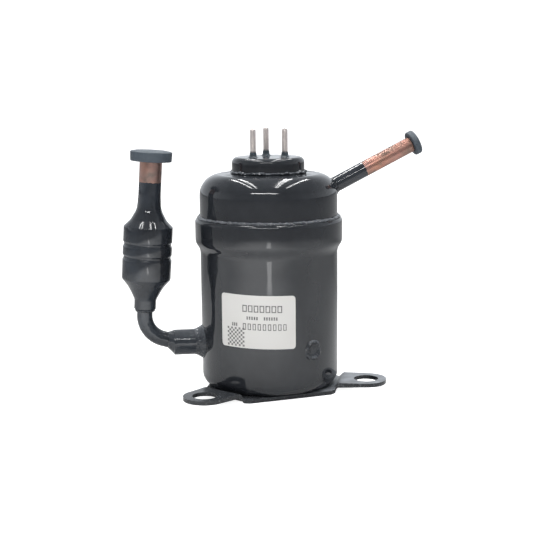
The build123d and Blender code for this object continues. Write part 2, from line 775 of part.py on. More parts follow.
with BuildPart() as valve_stop:
    with BuildSketch(Plane(origin=reed_plane.origin, x_dir=reed_plane.x_dir, z_dir=-reed_plane.y_dir)):
        with BuildLine():
            Polyline(
                (reed_reach + 2.4, stop_start),
                (reed_reach - 2.2, stop_start),
                (-2.0, stop_start + stop_rise),
                (-2.0, stop_start + stop_rise + stop_t),
                (reed_reach - 2.2, stop_start + stop_t),
                (reed_reach + 2.4, stop_start + stop_t),
                close=True,
            )
        make_face()
    extrude(amount=1.8, both=True)
    with BuildSketch(reed_plane):
        with Locations((reed_reach, 0)):
            Circle(valve_screw_r + seat_gap)
    extrude(amount=4, mode=Mode.SUBTRACT)
save(valve_stop, "valve_stop")

screw_seat = stop_start + stop_t + fit_gap

with BuildPart() as valve_screw:
    with BuildSketch(reed_plane.offset(-2.8)):
        with Locations((reed_reach, 0)):
            Circle(valve_screw_r)
    extrude(amount=2.8 + screw_seat)
    with BuildSketch(reed_plane.offset(screw_seat)):
        with Locations((reed_reach, 0)):
            Circle(valve_screw_head_r)
    extrude(amount=1.1)
    with BuildSketch(reed_plane.offset(screw_seat + 1.1)):
        with Locations((reed_reach, 0)):
            Rectangle(3.2, 0.5)
    extrude(amount=-0.5, mode=Mode.SUBTRACT)
save(valve_screw, "valve_screw")


# ==== crank, piston and vane ======================================================================
crank_centre = polar(eccentricity, crank_azimuth)
shaft_bottom, shaft_top = 5.2, 60.4
oil_bore_r = 1.6

with BuildPart() as crankshaft:
    with BuildSketch(Plane.XY.offset(shaft_bottom)):
        Circle(shaft_r)
    extrude(amount=shaft_top - shaft_bottom)
    chamfer(crankshaft.edges().group_by(Axis.Z)[-1], 0.5)
    with BuildSketch(Plane.XY.offset(cylinder_bottom + 0.3)):
        with Locations(crank_centre):
            Circle(crankpin_r)
    extrude(amount=cylinder_h - 0.6)
    with BuildSketch(Plane.XY.offset(shaft_bottom)):
        Circle(oil_bore_r)
    extrude(amount=30, mode=Mode.SUBTRACT)
    # cross hole that feeds oil to the crankpin
    with BuildSketch(radial_plane(crank_azimuth, 0, stub_z)):
        Circle(0.6)
    extrude(amount=crankpin_r + eccentricity + 1, mode=Mode.SUBTRACT)
save(crankshaft, "crankshaft")

with BuildPart() as oil_pickup:
    with BuildSketch(Plane.XY.offset(shaft_bottom - 0.8)):
        Rectangle(2 * oil_bore_r - 0.1, 0.5)
    extrude(amount=14)
save(oil_pickup, "oil_pickup")

with BuildPart() as rolling_piston:
    with BuildSketch(Plane.XY.offset(cylinder_bottom + piston_gap)):
        with Locations(crank_centre):
            Circle(piston_r)
            Circle(crankpin_r + fit_gap, mode=Mode.SUBTRACT)
    extrude(amount=cylinder_h - 2 * piston_gap)
save(rolling_piston, "rolling_piston")

vane_notch_h = 2 * spring_hole_r - 0.2

with BuildPart() as vane:
    with BuildSketch(radial_plane(vane_azimuth, cylinder_bore_r + fit_gap, stub_z)):
        Rectangle(vane_w, cylinder_h - 2 * piston_gap)
    extrude(amount=vane_length)
    # rounded tip that rubs on the piston
    fillet(vane.edges().filter_by(Axis.Z).sort_by(SortBy.DISTANCE)[:2], vane_w / 2 - seat_gap)
    # notch that seats the spring
    with BuildSketch(radial_plane(vane_azimuth, spring_seat, stub_z)):
        Rectangle(vane_w + 1, vane_notch_h)
    extrude(amount=6, mode=Mode.SUBTRACT)
save(vane, "vane")

spring_r, spring_wire_r, spring_turns = 1.8, 0.2, 7
spring_from, spring_to = spring_seat + 0.35, shell_in_r - 0.35
spring_plane = radial_plane(vane_azimuth, spring_from, stub_z)

with BuildPart() as vane_spring:
    with BuildLine() as spring_path:
        Helix(
            pitch=(spring_to - spring_from) / spring_turns,
            height=spring_to - spring_from,
            radius=spring_r,
            center=spring_plane.origin,
            direction=spring_plane.z_dir,
        )
    with BuildSketch(Plane(origin=spring_path.line @ 0, z_dir=spring_path.line % 0)):
        Circle(spring_wire_r)
    sweep(path=spring_path.line, is_frenet=True)
save(vane_spring, "vane_spring")


# ==== stator ======================================================================================
stack_h = stack_top - stack_bottom
tooth_step = 360 / slots

with BuildPart() as stator_core:
    with BuildSketch(Plane.XY.offset(stack_bottom)):
        Circle(stator_r)
        Circle(yoke_in_r, mode=Mode.SUBTRACT)
        with PolarLocations((yoke_in_r + stator_bore_r) / 2 + 0.4, slots):
            Rectangle(yoke_in_r - stator_bore_r, tooth_w)
        with BuildLine():
            CenterArc((0, 0), stator_bore_r + shoe_depth, 0, 360)
        make_face()
        Circle(stator_bore_r, mode=Mode.SUBTRACT)
        # slot mouths between the tooth shoes
        with PolarLocations(stator_bore_r + shoe_depth / 2, slots, start_angle=tooth_step / 2):
            Rectangle(shoe_depth + 0.6, 2.0, mode=Mode.SUBTRACT)
        # flats that let gas pass between the stack and the shell
        with PolarLocations(stator_r, 3, start_angle=20):
            Rectangle(1.6, 9, mode=Mode.SUBTRACT)
    extrude(amount=stack_h)
save(stator_core, "stator_core")

coil_mid_r = stator_bore_r + shoe_depth + 0.3 + coil_depth / 2

insulator_bases = (
    ("upper_insulator", stack_top + fit_gap),
    ("lower_insulator", stack_bottom - insulator_t - fit_gap),
)

for node_name, base in insulator_bases:
    with BuildPart() as insulator:
        with BuildSketch(Plane.XY.offset(base)):
            Circle(stator_r - 1.2)
            Circle(yoke_in_r, mode=Mode.SUBTRACT)
            with PolarLocations((yoke_in_r + stator_bore_r) / 2 + 0.6, slots):
                Rectangle(yoke_in_r - stator_bore_r - 0.2, tooth_w)
        extrude(amount=insulator_t)
    save(insulator, node_name)

with BuildPart() as stator_windings:
    coil_h = stack_h + 2 * insulator_t + 2 * end_turn
    window_h = stack_h + 2 * insulator_t + 0.1
    stack_middle = (stack_top + stack_bottom) / 2
    for tooth in range(slots):
        with BuildSketch(radial_plane(tooth * tooth_step, coil_mid_r - coil_depth / 2, stack_middle)):
            RectangleRounded(tooth_w + 2 * coil_side, coil_h, 1.8)
            Rectangle(tooth_w + 0.1, window_h, mode=Mode.SUBTRACT)
        extrude(amount=coil_depth)
save(stator_windings, "stator_windings")


# ==== rotor =======================================================================================
end_plate_t = 0.8

with BuildPart() as rotor_core:
    with BuildSketch(Plane.XY.offset(stack_bottom)):
        Circle(rotor_core_r)
        Circle(shaft_r + 0.005, mode=Mode.SUBTRACT)
        with PolarLocations(rivet_circle_r, 4, start_angle=45):
            Circle(rivet_r + fit_gap, mode=Mode.SUBTRACT)
    extrude(amount=stack_h)
save(rotor_core, "rotor_core")

with BuildPart() as rotor_magnets:
    with BuildSketch(Plane.XY.offset(stack_bottom)):
        Circle(magnet_r)
        Circle(rotor_core_r + fit_gap, mode=Mode.SUBTRACT)
        with PolarLocations((rotor_core_r + magnet_r) / 2, magnet_count):
            Rectangle(magnet_r - rotor_core_r + 1, 0.6, mode=Mode.SUBTRACT)
    extrude(amount=stack_h)
save(rotor_magnets, "rotor_magnets")

with BuildPart() as rotor_sleeve:
    with BuildSketch(Plane.XY.offset(stack_bottom)):
        Circle(rotor_r)
        Circle(magnet_r + fit_gap, mode=Mode.SUBTRACT)
    extrude(amount=stack_h)
save(rotor_sleeve, "rotor_sleeve")

with BuildPart() as rotor_end_plates:
    for base in (stack_top + fit_gap, stack_bottom - fit_gap - end_plate_t):
        with BuildSketch(Plane.XY.offset(base)):
            Circle(rotor_r)
            Circle(shaft_r + fit_gap, mode=Mode.SUBTRACT)
            with PolarLocations(rivet_circle_r, 4, start_angle=45):
                Circle(rivet_r + fit_gap, mode=Mode.SUBTRACT)
        extrude(amount=end_plate_t)
save(rotor_end_plates, "rotor_end_plates")

upper_weight_h, lower_weight_h = 2.4, 1.8
weight_spans = (
    ("upper_balance_weight", stack_top + end_plate_t + 2 * fit_gap, upper_weight_h, 180.0),
    ("lower_balance_weight", stack_bottom - end_plate_t - 2 * fit_gap - lower_weight_h, lower_weight_h, 0.0),
)

for node_name, base, height, side in weight_spans:
    with BuildPart() as balance_weight:
        with BuildSketch(Plane.XY.offset(base)):
            Circle(weight_out_r)
            Circle(weight_in_r, mode=Mode.SUBTRACT)
            with Locations(polar(10, crank_azimuth + side + 180)):
                Rectangle(20, 30, rotation=crank_azimuth + side, mode=Mode.SUBTRACT)
            with PolarLocations(rivet_circle_r, 4, start_angle=45):
                Circle(rivet_r + fit_gap, mode=Mode.SUBTRACT)
        extrude(amount=height)
    save(balance_weight, node_name)

rivet_bottom = stack_bottom - end_plate_t - 2 * fit_gap - lower_weight_h
rivet_top = stack_top + end_plate_t + 2 * fit_gap + upper_weight_h

with BuildPart() as rotor_rivets:
    with BuildSketch(Plane.XY.offset(rivet_bottom)):
        with PolarLocations(rivet_circle_r, 4, start_angle=45):
            Circle(rivet_r)
    extrude(amount=rivet_top - rivet_bottom)
save(rotor_rivets, "rotor_rivets")
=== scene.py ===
"""Looks of a small hermetic rotary compressor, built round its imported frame.

Mesh code works in millimetres in the frame's own axes, and finished pieces are scaled to metres.
"""

import json
import random
from math import atan2, ceil, cos, degrees, exp, pi, radians, sin, sqrt, tan

import bmesh
import bpy
from bpy.props import FloatProperty, FloatVectorProperty, IntProperty, PointerProperty
from mathutils import Matrix, Vector, noise
from mathutils.geometry import delaunay_2d_cdt


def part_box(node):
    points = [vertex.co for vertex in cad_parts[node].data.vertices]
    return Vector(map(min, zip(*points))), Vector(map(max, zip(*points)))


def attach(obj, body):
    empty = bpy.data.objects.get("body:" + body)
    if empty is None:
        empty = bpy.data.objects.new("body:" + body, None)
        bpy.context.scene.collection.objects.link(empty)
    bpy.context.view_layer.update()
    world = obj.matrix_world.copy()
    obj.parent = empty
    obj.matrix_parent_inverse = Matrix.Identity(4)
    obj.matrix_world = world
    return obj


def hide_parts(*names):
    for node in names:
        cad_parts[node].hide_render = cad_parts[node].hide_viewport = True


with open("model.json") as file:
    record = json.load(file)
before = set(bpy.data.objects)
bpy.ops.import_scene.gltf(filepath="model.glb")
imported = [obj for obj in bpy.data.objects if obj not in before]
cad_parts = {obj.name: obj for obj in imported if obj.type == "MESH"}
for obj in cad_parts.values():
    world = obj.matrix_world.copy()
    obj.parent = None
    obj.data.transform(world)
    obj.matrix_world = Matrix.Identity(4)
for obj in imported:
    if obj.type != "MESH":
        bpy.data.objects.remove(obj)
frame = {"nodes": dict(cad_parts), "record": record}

bl_info = {
    "name": "Rotary compressor",
    "version": (1, 0, 0),
    "blender": (4, 5, 0),
    "location": "3D View > Sidebar > Compressor",
    "description": "Builds the visible pieces and finishes of a hermetic rotary compressor",
    "category": "Object",
}

MM = 0.001


def linear(hex_colour):
    """A linear colour from an sRGB hex value such as "#1a2b3c"."""
    parts = [int(hex_colour[i : i + 2], 16) / 255 for i in (1, 3, 5)]
    return tuple(c / 12.92 if c <= 0.04045 else ((c + 0.055) / 1.055) ** 2.4 for c in parts)


def box_mm(node_name):
    """Lowest and highest corner of a CAD node, in millimetres."""
    low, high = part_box(node_name)
    return low / MM, high / MM


def mount_axis(mount_name):
    """Place in millimetres and direction of one of the record's mounts."""
    mount = next(m for m in frame["record"]["mounts"] if m["name"] == mount_name)
    return Vector(mount["pos_m"]) / MM, Vector(mount["axis"]).normalized()


# ---- places read from the frame -------------------------------------------------------------------
COLLAR_R = box_mm("main_shell")[1].x
COLLAR_TOP = box_mm("main_shell")[1].z
PLATE_T = box_mm("main_shell")[0].z
CAP_BOTTOM = box_mm("upper_cap")[0].z
CUP_R = box_mm("terminal_cup")[1].x
CUP_BOTTOM, CUP_TOP = box_mm("terminal_cup")[0].z, box_mm("terminal_cup")[1].z
PIN_TOP = box_mm("terminal_pins")[1].z
SUCTION_POINT, SUCTION_AXIS = mount_axis("suction_connection")
DISCHARGE_POINT, DISCHARGE_AXIS = mount_axis("discharge_connection")

# ---- named sizes, millimetres ---------------------------------------------------------------------
SHELL_R, WALL = 28.0, 2.0
BOTTOM_CORNER_R = 5.0
COLLAR_START, COLLAR_FULL = 56.6, 61.6
KNUCKLE_Z, KNUCKLE_R = 79.8, 8.5
CAP_APEX, CROWN_R, CAP_OPENING_R = 89.6, 106.0, 12.6
EAR_AZIMUTH, EAR_LIFT = -18.0, 2.5
HOLE_PCD, HOLE_R = 80.0, 4.95
PIN_R, PIN_CIRCLE_R, PIN_AZIMUTHS = 1.15, 7.4, (-32.0, 88.0, 208.0)
GLASS_R = 2.28
TUBE_R, TUBE_WALL = 3.175, 0.8
STUB_Z, STUB_R, STUB_MOUTH = 19.8, 5.2, 39.8
PLUG_WELD_AZIMUTHS = (-60.0, 60.0, 146.0)
LABEL_AZIMUTH, LABEL_BOTTOM, LABEL_TOP = -108.4, 21.7, 43.3
ACC_BODY_R, ACC_NECK_R = 9.9, 4.5
SUCTION_FOOT = SUCTION_POINT - 52.9 * SUCTION_AXIS  # the accumulator's lower end
DISCHARGE_ROOT = DISCHARGE_POINT - 20.0 * DISCHARGE_AXIS  # where the tube meets the cap

# ---- camera and light directions ------------------------------------------------------------------
VIEW_AZIMUTH = 82.0  # the way the camera looks, seen from above
VIEW_DISTANCE, VIEW_HEIGHT = 470.0, 128.5
VIEW_PITCH, VIEW_YAW, VIEW_ROLL = 9.66, 0.04, -0.588
LENS, SENSOR = 77.33, 36.0
FRONT_ROOM, BACK_ROOM, CEILING = 0.42, 1.0, 0.34  # brightness of the room round the object
PAINTED_POOL, TUBES, BAR, FLOOR_STRIP = 1.2, 52.0, 75.0, 3.2  # brightness of the pool of light painted on the floor as a glow, and of the lamps


# ==== settings =====================================================================================
class CompressorSizes(bpy.types.PropertyGroup):
    """Sizes of the finish that a user may want to change."""

    seam_bead: FloatProperty(
        name="Seam bead",
        description="Half width of the weld round the shell's mouth, mm",
        default=0.95,
        min=0.3,
        max=1.2,
    )
    bead_roughness: FloatProperty(
        name="Bead unevenness",
        description="How uneven the weld beads are",
        default=0.34,
        min=0,
        max=0.6,
        subtype="FACTOR",
    )
    label_tilt: FloatProperty(
        name="Label tilt",
        description="How far the label's right side is stuck lower, mm",
        default=0.35,
        min=0,
        max=1,
    )
    paint_edge: FloatProperty(
        name="Paint on discharge tube",
        description="Length of the tube that is painted, mm",
        default=15.2,
        min=2,
        max=30,
    )
    neck_paint_edge: FloatProperty(
        name="Paint on suction neck",
        description="Height along the accumulator where paint ends, mm",
        default=51.5,
        min=46,
        max=58,
    )
    segments: IntProperty(
        name="Segments",
        description="Flat faces round a full turn",
        default=160,
        min=48,
        max=256,
    )


def surface_colour(name, description, hex_colour):
    """A colour setting, given as an sRGB hex value."""
    return FloatVectorProperty(name=name, description=description, subtype="COLOR", default=linear(hex_colour))


class CompressorColours(bpy.types.PropertyGroup):
    """Colours of the finishes."""

    enamel: surface_colour("Enamel", "Baked enamel of the shell", "#1d1f23")
    # the same colour also paints the sheen on the plate's right side and the glints on the weld beads
    dust_and_sheen: surface_colour("Dust", "Dust and rubbed paint", "#a7abb1")
    copper: surface_colour("Copper", "Bare drawn copper", "#a4857e")
    rubber: surface_colour("Rubber", "Plugs that close the tubes", "#444c54")
    label: surface_colour("Label film", "Film of the rating label", "#cbc9c6")
    print_ink: surface_colour("Print", "Ink of the label's blocks and chequer", "#2c2c2e")


def sizes():
    """The sizes as the user has set them."""
    return bpy.context.scene.compressor_sizes


def colours():
    """The colours as the user has set them."""
    return bpy.context.scene.compressor_colours


# ==== shapes =======================================================================================
def rounded(corners, arc_step=15.0, closed=False):
    """Points of a 2-D or 3-D outline. A corner is a point and a radius; its arc touches both runs."""
    points = []
    count = len(corners)
    for i, (corner, radius) in enumerate(corners):
        corner = Vector(corner)
        if radius <= 0 or (not closed and i in (0, count - 1)):
            points.append(corner)
            continue
        back = (Vector(corners[i - 1][0]) - corner).normalized()
        ahead = (Vector(corners[(i + 1) % count][0]) - corner).normalized()
        half = back.angle(ahead) / 2
        centre = corner + (back + ahead).normalized() * (radius / sin(half))
        start = corner + back * (radius / tan(half)) - centre
        end = corner + ahead * (radius / tan(half)) - centre
        turn = start.angle(end)
        steps = max(2, ceil(degrees(turn) / arc_step))
        for k in range(steps + 1):
            share = k / steps
            points.append(centre + (start * sin((1 - share) * turn) + end * sin(share * turn)) / sin(turn))
    return points


def arc(centre, radius, start, end, steps):
    """Points (r, z) on an arc, from one angle to another in degrees."""
    angles = [radians(start + (end - start) * k / steps) for k in range(steps + 1)]
    return [Vector((centre[0] + radius * cos(a), centre[1] + radius * sin(a))) for a in angles]


def axis_matrix(origin, direction):
    """Turns local Z into a direction at an origin."""
    direction = Vector(direction).normalized()
    side = Vector((0, 0, 1)).cross(direction)
    if side.length < 1e-6:
        side = Vector((1, 0, 0))
    side.normalize()
    turn = Matrix((side, direction.cross(side), direction)).transposed()
    return Matrix.Translation(Vector(origin)) @ turn.to_4x4()


def lathe(bm, outline, matrix=Matrix(), segments=None, wobble=None):
    """Adds a solid of revolution about local Z. The outline is a closed loop of (r, z) points."""
    segments = segments or sizes().segments
    rings = []
    for r, z in (tuple(p)[:2] for p in outline):
        if r < 1e-5:
            rings.append([bm.verts.new(matrix @ Vector((0, 0, z)))])
            continue
        ring = []
        for k in range(segments):
            angle = 2 * pi * k / segments
            grown = r + (wobble(angle, r, z) if wobble else 0)
            ring.append(bm.verts.new(matrix @ Vector((grown * cos(angle), grown * sin(angle), z))))
        rings.append(ring)
    for this, other in zip(rings, rings[1:] + rings[:1]):
        for k in range(segments):
            quad = [this[k % len(this)], this[(k + 1) % segments % len(this)]]
            quad += [other[(k + 1) % segments % len(other)], other[k % len(other)]]
            face = list(dict.fromkeys(quad))
            if len(face) > 2:
                bm.faces.new(face)
    return rings


def ring_bead(bm, path, section, closed=True):
    """Adds a bead of weld or a tube wall. A path step is (centre, across, up); section gives its loop there."""
    rings = []
    for i, (centre, across, up) in enumerate(path):
        rings.append([bm.verts.new(centre + across * a + up * b) for a, b in section(i)])
    pairs = list(zip(rings, rings[1:] + rings[:1])) if closed else list(zip(rings, rings[1:]))
    for this, other in pairs:
        for k in range(len(this)):
            n = (k + 1) % len(this)
            bm.faces.new((this[k], this[n], other[n], other[k]))
    if not closed:
        bm.faces.new(rings[0][::-1])
        bm.faces.new(rings[-1])


def circle_path(origin, direction, radius, steps):
    """Steps round a circle about an axis: a point on it, the way out, and the way up."""
    matrix = axis_matrix(origin, direction)
    turn = matrix.to_3x3()
    path = []
    for k in range(steps):
        angle = 2 * pi * k / steps
        out = turn @ Vector((cos(angle), sin(angle), 0))
        path.append((Vector(origin) + out * radius, out, turn @ Vector((0, 0, 1))))
    return path


def bead_section(path, width, height, seed, ripple=2.2, sides=14, lumps=()):
    """Section of an uneven weld bead: ripples along it, soft swelling, and rounded nodules at given steps."""
    uneven = sizes().bead_roughness

    def section(i):
        centre = path[i][0]
        swell = 1 + uneven * noise.noise((centre + Vector((seed, 0, 0))) / 3.1)
        swell += 0.5 * uneven * noise.noise((centre + Vector((0, seed, 0))) / 1.2)
        loop = []
        for k in range(sides):
            a = 2 * pi * k / sides
            # the front of a bead settles a little flat before it freezes
            flat = 0.1 * max(0.0, cos(3.6 * (a - pi / 4))) if abs(a - pi / 4) < 0.44 else 0.0
            point = centre + Vector((cos(a), sin(a), k)) * ripple
            grow = swell + uneven * (0.6 * noise.noise(point / 1.5) + 0.55 * noise.noise(point / 0.8))
            for at, size, way in lumps:
                gap = (centre - at).length
                grow += size * exp(-((gap / 0.75) ** 2)) * max(0.0, cos(a - way))
            grow -= flat
            loop.append((width * grow * cos(a), height * grow * sin(a)))
        return loop

    return section


def slab(bm, outline, holes, lift, thickness, spacing):
    """Adds sheet metal of any outline with round holes. lift(x, y) is the underside's height."""
    points, edges, inside = [], [], []
    for loop in [outline] + holes:
        start = len(points)
        points += [Vector(p[:2]) for p in loop]
        edges += [(start + k, start + (k + 1) % len(loop)) for k in range(len(loop))]
    low = [min(p[i] for p in points) for i in (0, 1)]
    high = [max(p[i] for p in points) for i in (0, 1)]
    columns, rows = (ceil((high[i] - low[i]) / spacing) for i in (0, 1))
    for i in range(columns):
        for j in range(rows):
            spot = Vector((low[0] + (i + 0.5) * spacing, low[1] + (j + 0.5) * spacing))
            if within(spot, outline) and not any(within(spot, hole) for hole in holes):
                if min((spot - p).length for p in points) > 0.6 * spacing:
                    inside.append(spot)
    found = delaunay_2d_cdt(points + inside, edges, [], 1, 1e-6)
    spots, faces = found[0], found[2]
    upper = [bm.verts.new((p.x, p.y, lift(p) + thickness)) for p in spots]
    lower = [bm.verts.new((p.x, p.y, lift(p))) for p in spots]
    kept = []
    for face in faces:
        middle = sum((spots[k] for k in face), Vector((0, 0))) / len(face)
        if within(middle, outline) and not any(within(middle, hole) for hole in holes):
            kept.append(face)
    rims = {}
    for face in kept:
        bm.faces.new([upper[k] for k in face])
        bm.faces.new([lower[k] for k in reversed(face)])
        for a, b in zip(face, face[1:] + face[:1]):
            rims[(a, b)] = (b, a) not in rims
            if (b, a) in rims:
                rims[(b, a)] = rims[(a, b)] = False
    for (a, b), rim in rims.items():
        if rim:
            bm.faces.new((upper[b], upper[a], lower[a], lower[b]))
    bmesh.ops.delete(bm, geom=[v for v in bm.verts if not v.link_faces], context="VERTS")


def within(spot, loop):
    """True if a point is inside a closed outline."""
    crossings = False
    for a, b in zip(loop, loop[1:] + loop[:1]):
        if (a[1] > spot[1]) != (b[1] > spot[1]):
            if spot[0] < (b[0] - a[0]) * (spot[1] - a[1]) / (b[1] - a[1]) + a[0]:
                crossings = not crossings
    return crossings


def circle_loop(centre, radius, steps):
    """A round outline in the plane."""
    turns = [2 * pi * k / steps for k in range(steps)]
    return [Vector((centre[0] + radius * cos(a), centre[1] + radius * sin(a))) for a in turns]


def polar(radius, azimuth, height=0.0):
    """A point round the shell's axis, its azimuth in degrees."""
    return Vector((radius * cos(radians(azimuth)), radius * sin(radians(azimuth)), height))


def smooth_step(share):
    """Eases from none to one."""
    share = min(1.0, max(0.0, share))
    return share * share * (3 - 2 * share)


def piece(name, bm, material, *nodes, body="housing", slot="black_enamel", sharp=38.0, bevel=0.0):
    """Makes an object of a mesh, finishes it and puts it on its body in place of its CAD nodes."""
    bmesh.ops.remove_doubles(bm, verts=bm.verts, dist=1e-4)
    bmesh.ops.recalc_face_normals(bm, faces=bm.faces)
    bmesh.ops.scale(bm, verts=bm.verts, vec=Vector((MM, MM, MM)))
    mesh = bpy.data.meshes.new(name)
    bm.to_mesh(mesh)
    bm.free()
    mesh.shade_smooth()
    mesh.set_sharp_from_angle(angle=radians(sharp))
    made = bpy.data.objects.new(name, mesh)
    bpy.context.scene.collection.objects.link(made)
    if bevel:
        edge = made.modifiers.new("Rolled edges", "BEVEL")
        edge.width, edge.segments, edge.angle_limit = bevel * MM, 3, radians(50)
        edge.harden_normals = True
    mesh.materials.append(material)
    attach(made, body)
    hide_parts(*nodes)
    return made


# ==== finishes =====================================================================================
def add(tree, kind, inputs=(), out=0, **settings):
    """Adds a shader node. inputs gives values, hex colours or outputs to link, in order or by socket name."""
    made = tree.nodes.new("ShaderNode" + kind)
    for key, value in settings.items():
        setattr(made, key, value)
    shown = [socket for socket in made.inputs if socket.enabled]
    for key, value in inputs.items() if isinstance(inputs, dict) else enumerate(inputs):
        socket = shown[key] if isinstance(key, int) else next(s for s in shown if s.name == key)
        if isinstance(value, bpy.types.NodeSocket):
            tree.links.new(value, socket)
        elif socket.type == "RGBA":
            socket.default_value = (*(linear(value) if isinstance(value, str) else value), 1.0)
        else:
            socket.default_value = value
    return made.outputs[out] if isinstance(out, str) else [s for s in made.outputs if s.enabled][out]


def start_material(name, **shader):
    """A material with its shader and object coordinates in metres."""
    material = bpy.data.materials.new(name)
    material.use_nodes = True
    tree = material.node_tree
    principled = tree.nodes["Principled BSDF"]
    for key, value in shader.items():
        principled.inputs[key.replace("_", " ")].default_value = value
    return material, tree, principled, add(tree, "TexCoord", out="Object")


def finish_with(tree, principled, colour, rough, relief=None, strength=0.2, depth_mm=0.05):
    """Links colour, roughness and fine relief to the shader."""
    tree.links.new(colour, principled.inputs["Base Color"])
    tree.links.new(rough, principled.inputs["Roughness"])
    if relief:
        raised = add(tree, "Bump", {"Height": relief, "Strength": strength, "Distance": depth_mm * MM})
        tree.links.new(raised, principled.inputs["Normal"])


def mottle(tree, place, size_mm, low, high, detail=3.0, low_at=0.3, high_at=0.7):
    """Uneven patches of a real size, between two values."""
    patches = add(tree, "TexNoise", {"Vector": place, "Scale": 1 / (size_mm * MM), "Detail": detail})
    return add(
        tree,
        "MapRange",
        {"Value": patches, "From Min": low_at, "From Max": high_at, "To Min": low, "To Max": high},
    )


def patchy(tree, place, size_mm, first, second, most=1.0, **spread):
    """Two colours in uneven patches of a real size. most is the second colour's greatest share."""
    share = mottle(tree, place, size_mm, 0.0, most, **spread)
    return add(tree, "Mix", (share, first, second), data_type="RGBA")


def dusted_and_sheened_enamel(tree, place, dust_and_sheen_amount, gloss, thin="#323539"):
    """Colour and roughness of black baked enamel, paler where it faces up: a dusty film, and on the plate and
    the weld beads also a painted highlight.
    """
    facing = add(tree, "SeparateXYZ", (add(tree, "NewGeometry", out="Normal"),), out="Z")
    facing_up_share = add(tree, "MapRange", {"Value": facing, "From Min": 0.35, "From Max": 1.0, "To Max": dust_and_sheen_amount})
    patches = mottle(tree, place, 5.0, 0.35, 1.0, detail=6.0)
    dust_and_sheen = add(tree, "Math", (facing_up_share, patches), operation="MULTIPLY", use_clamp=True)
    clean = patchy(tree, place, 14.0, colours().enamel, thin, 0.35)
    smear = mottle(tree, place, 7.0, gloss, gloss + 0.06, detail=4.0)
    rough = add(tree, "Math", (dust_and_sheen, 0.45, smear), operation="MULTIPLY_ADD")
    return add(tree, "Mix", (dust_and_sheen, clean, colours().dust_and_sheen), data_type="RGBA"), rough


def enamel(
    name="Baked black enamel",
    dust_and_sheen_amount=0.08,
    gloss=0.04,
    peel=0.045,
    peel_mm=2.6,
    thin="#323539",
    depth_mm=0.05,
):
    """Baked enamel over steel, sprayed: a deep gloss with a faint orange peel, and paler where it faces up,
    from a dusty film and, on the weld beads, a painted highlight.
    """
    material, tree, principled, place = start_material(name, IOR=1.5)
    colour, rough = dusted_and_sheened_enamel(tree, place, dust_and_sheen_amount, gloss, thin)
    relief = mottle(tree, place, peel_mm, 0.0, 1.0, detail=1.0)
    finish_with(tree, principled, colour, rough, relief, peel, depth_mm)
    return material


def rubbed_enamel():
    """Enamel on the pressed plate: thinner, rubbed grey and dusty on top, so semi-matt, and painted paler
    towards its right side as a painted sheen.
    """
    material, tree, principled, place = start_material("Rubbed enamel on pressed steel, painted sheen", IOR=1.5)
    # the plate's upward faces are painted paler towards +X, the right ear in the view: painted sheen for that
    # ear's reflection, over some dust
    side = add(tree, "SeparateXYZ", (place,), out="X")
    across = {"Value": side, "From Min": -0.02, "From Max": 0.03, "To Min": 0.1, "To Max": 1.0}
    dust_and_sheen = add(tree, "MapRange", across)
    colour, rough = dusted_and_sheened_enamel(tree, place, dust_and_sheen, 0.14)
    worn = mottle(tree, place, 0.9, 0.0, 0.2, detail=6.0, low_at=0.56, high_at=0.75)
    rougher = add(tree, "Math", (worn, 0.3, rough), operation="MULTIPLY_ADD")
    speckled = add(tree, "Mix", (worn, colour, colours().dust_and_sheen), data_type="RGBA")
    finish_with(tree, principled, speckled, rougher, mottle(tree, place, 0.7, 0.0, 1.0, detail=4.0), 0.18, 0.06)
    return material


def painted_copper(name, point, direction, edge_mm, tarnish, dulling):
    """Drawn copper tube, dipped in enamel up to an edge: warm mottled metal beside a glossy black coat."""
    material, tree, principled, place = start_material(name)
    offset = add(tree, "VectorMath", (place, tuple(point * MM)), operation="SUBTRACT")
    along = add(tree, "VectorMath", (offset, tuple(direction)), "Value", operation="DOT_PRODUCT")
    ragged = add(tree, "Math", (along, mottle(tree, place, 1.6, -0.00012, 0.00012)))
    edge = {"Value": ragged, "From Min": (edge_mm - 0.05) * MM, "From Max": (edge_mm + 0.05) * MM}
    bare = add(tree, "MapRange", edge)
    metal = patchy(tree, place, 6.0, colours().copper, "#b5866c", detail=4.0)
    pink = patchy(tree, place, 3.0, metal, "#aa7872", 0.6, detail=5.0)
    stains = mottle(tree, place, 4.2, 0.0, tarnish, detail=7.0, low_at=0.47, high_at=0.66)
    dulled = add(tree, "Mix", (stains, pink, "#71675e"), data_type="RGBA")
    if dulling:
        dulled = add(tree, "Mix", (dulling, dulled, "#a1958f"), data_type="RGBA")
    coat, coat_rough = dusted_and_sheened_enamel(tree, place, 0.1, 0.03, "#454c55")
    metal_rough = mottle(tree, place, 2.0, 0.3, 0.46, detail=5.0)
    rough = add(tree, "Mix", {"Factor": bare, "A": coat_rough, "B": metal_rough})
    step = add(tree, "Math", (mottle(tree, place, 1.3, 0.0, 0.08), bare), operation="SUBTRACT")
    tree.links.new(bare, principled.inputs["Metallic"])
    colour = add(tree, "Mix", (bare, coat, dulled), data_type="RGBA")
    finish_with(tree, principled, colour, rough, step, 0.25, 0.06)
    return material


def rubber():
    """Moulded synthetic rubber: matt dark blue-grey with a pale bloom on top."""
    material, tree, principled, place = start_material("Moulded rubber", IOR=1.52, Specular_IOR_Level=0.4)
    facing = add(tree, "SeparateXYZ", (add(tree, "NewGeometry", out="Normal"),), out="Z")
    patches = mottle(tree, place, 1.2, 0.25, 0.5, detail=6.0)
    bloom = add(tree, "Math", (facing, patches), operation="MULTIPLY", use_clamp=True)
    body = patchy(tree, place, 3.0, colours().rubber, "#3c434b", 0.5)
    rough = mottle(tree, place, 1.0, 0.5, 0.72)
    grain = mottle(tree, place, 0.35, 0.0, 1.0, detail=4.0)
    colour = add(tree, "Mix", (bloom, body, "#8d959b"), data_type="RGBA")
    finish_with(tree, principled, colour, rough, grain, 0.25)
    return material


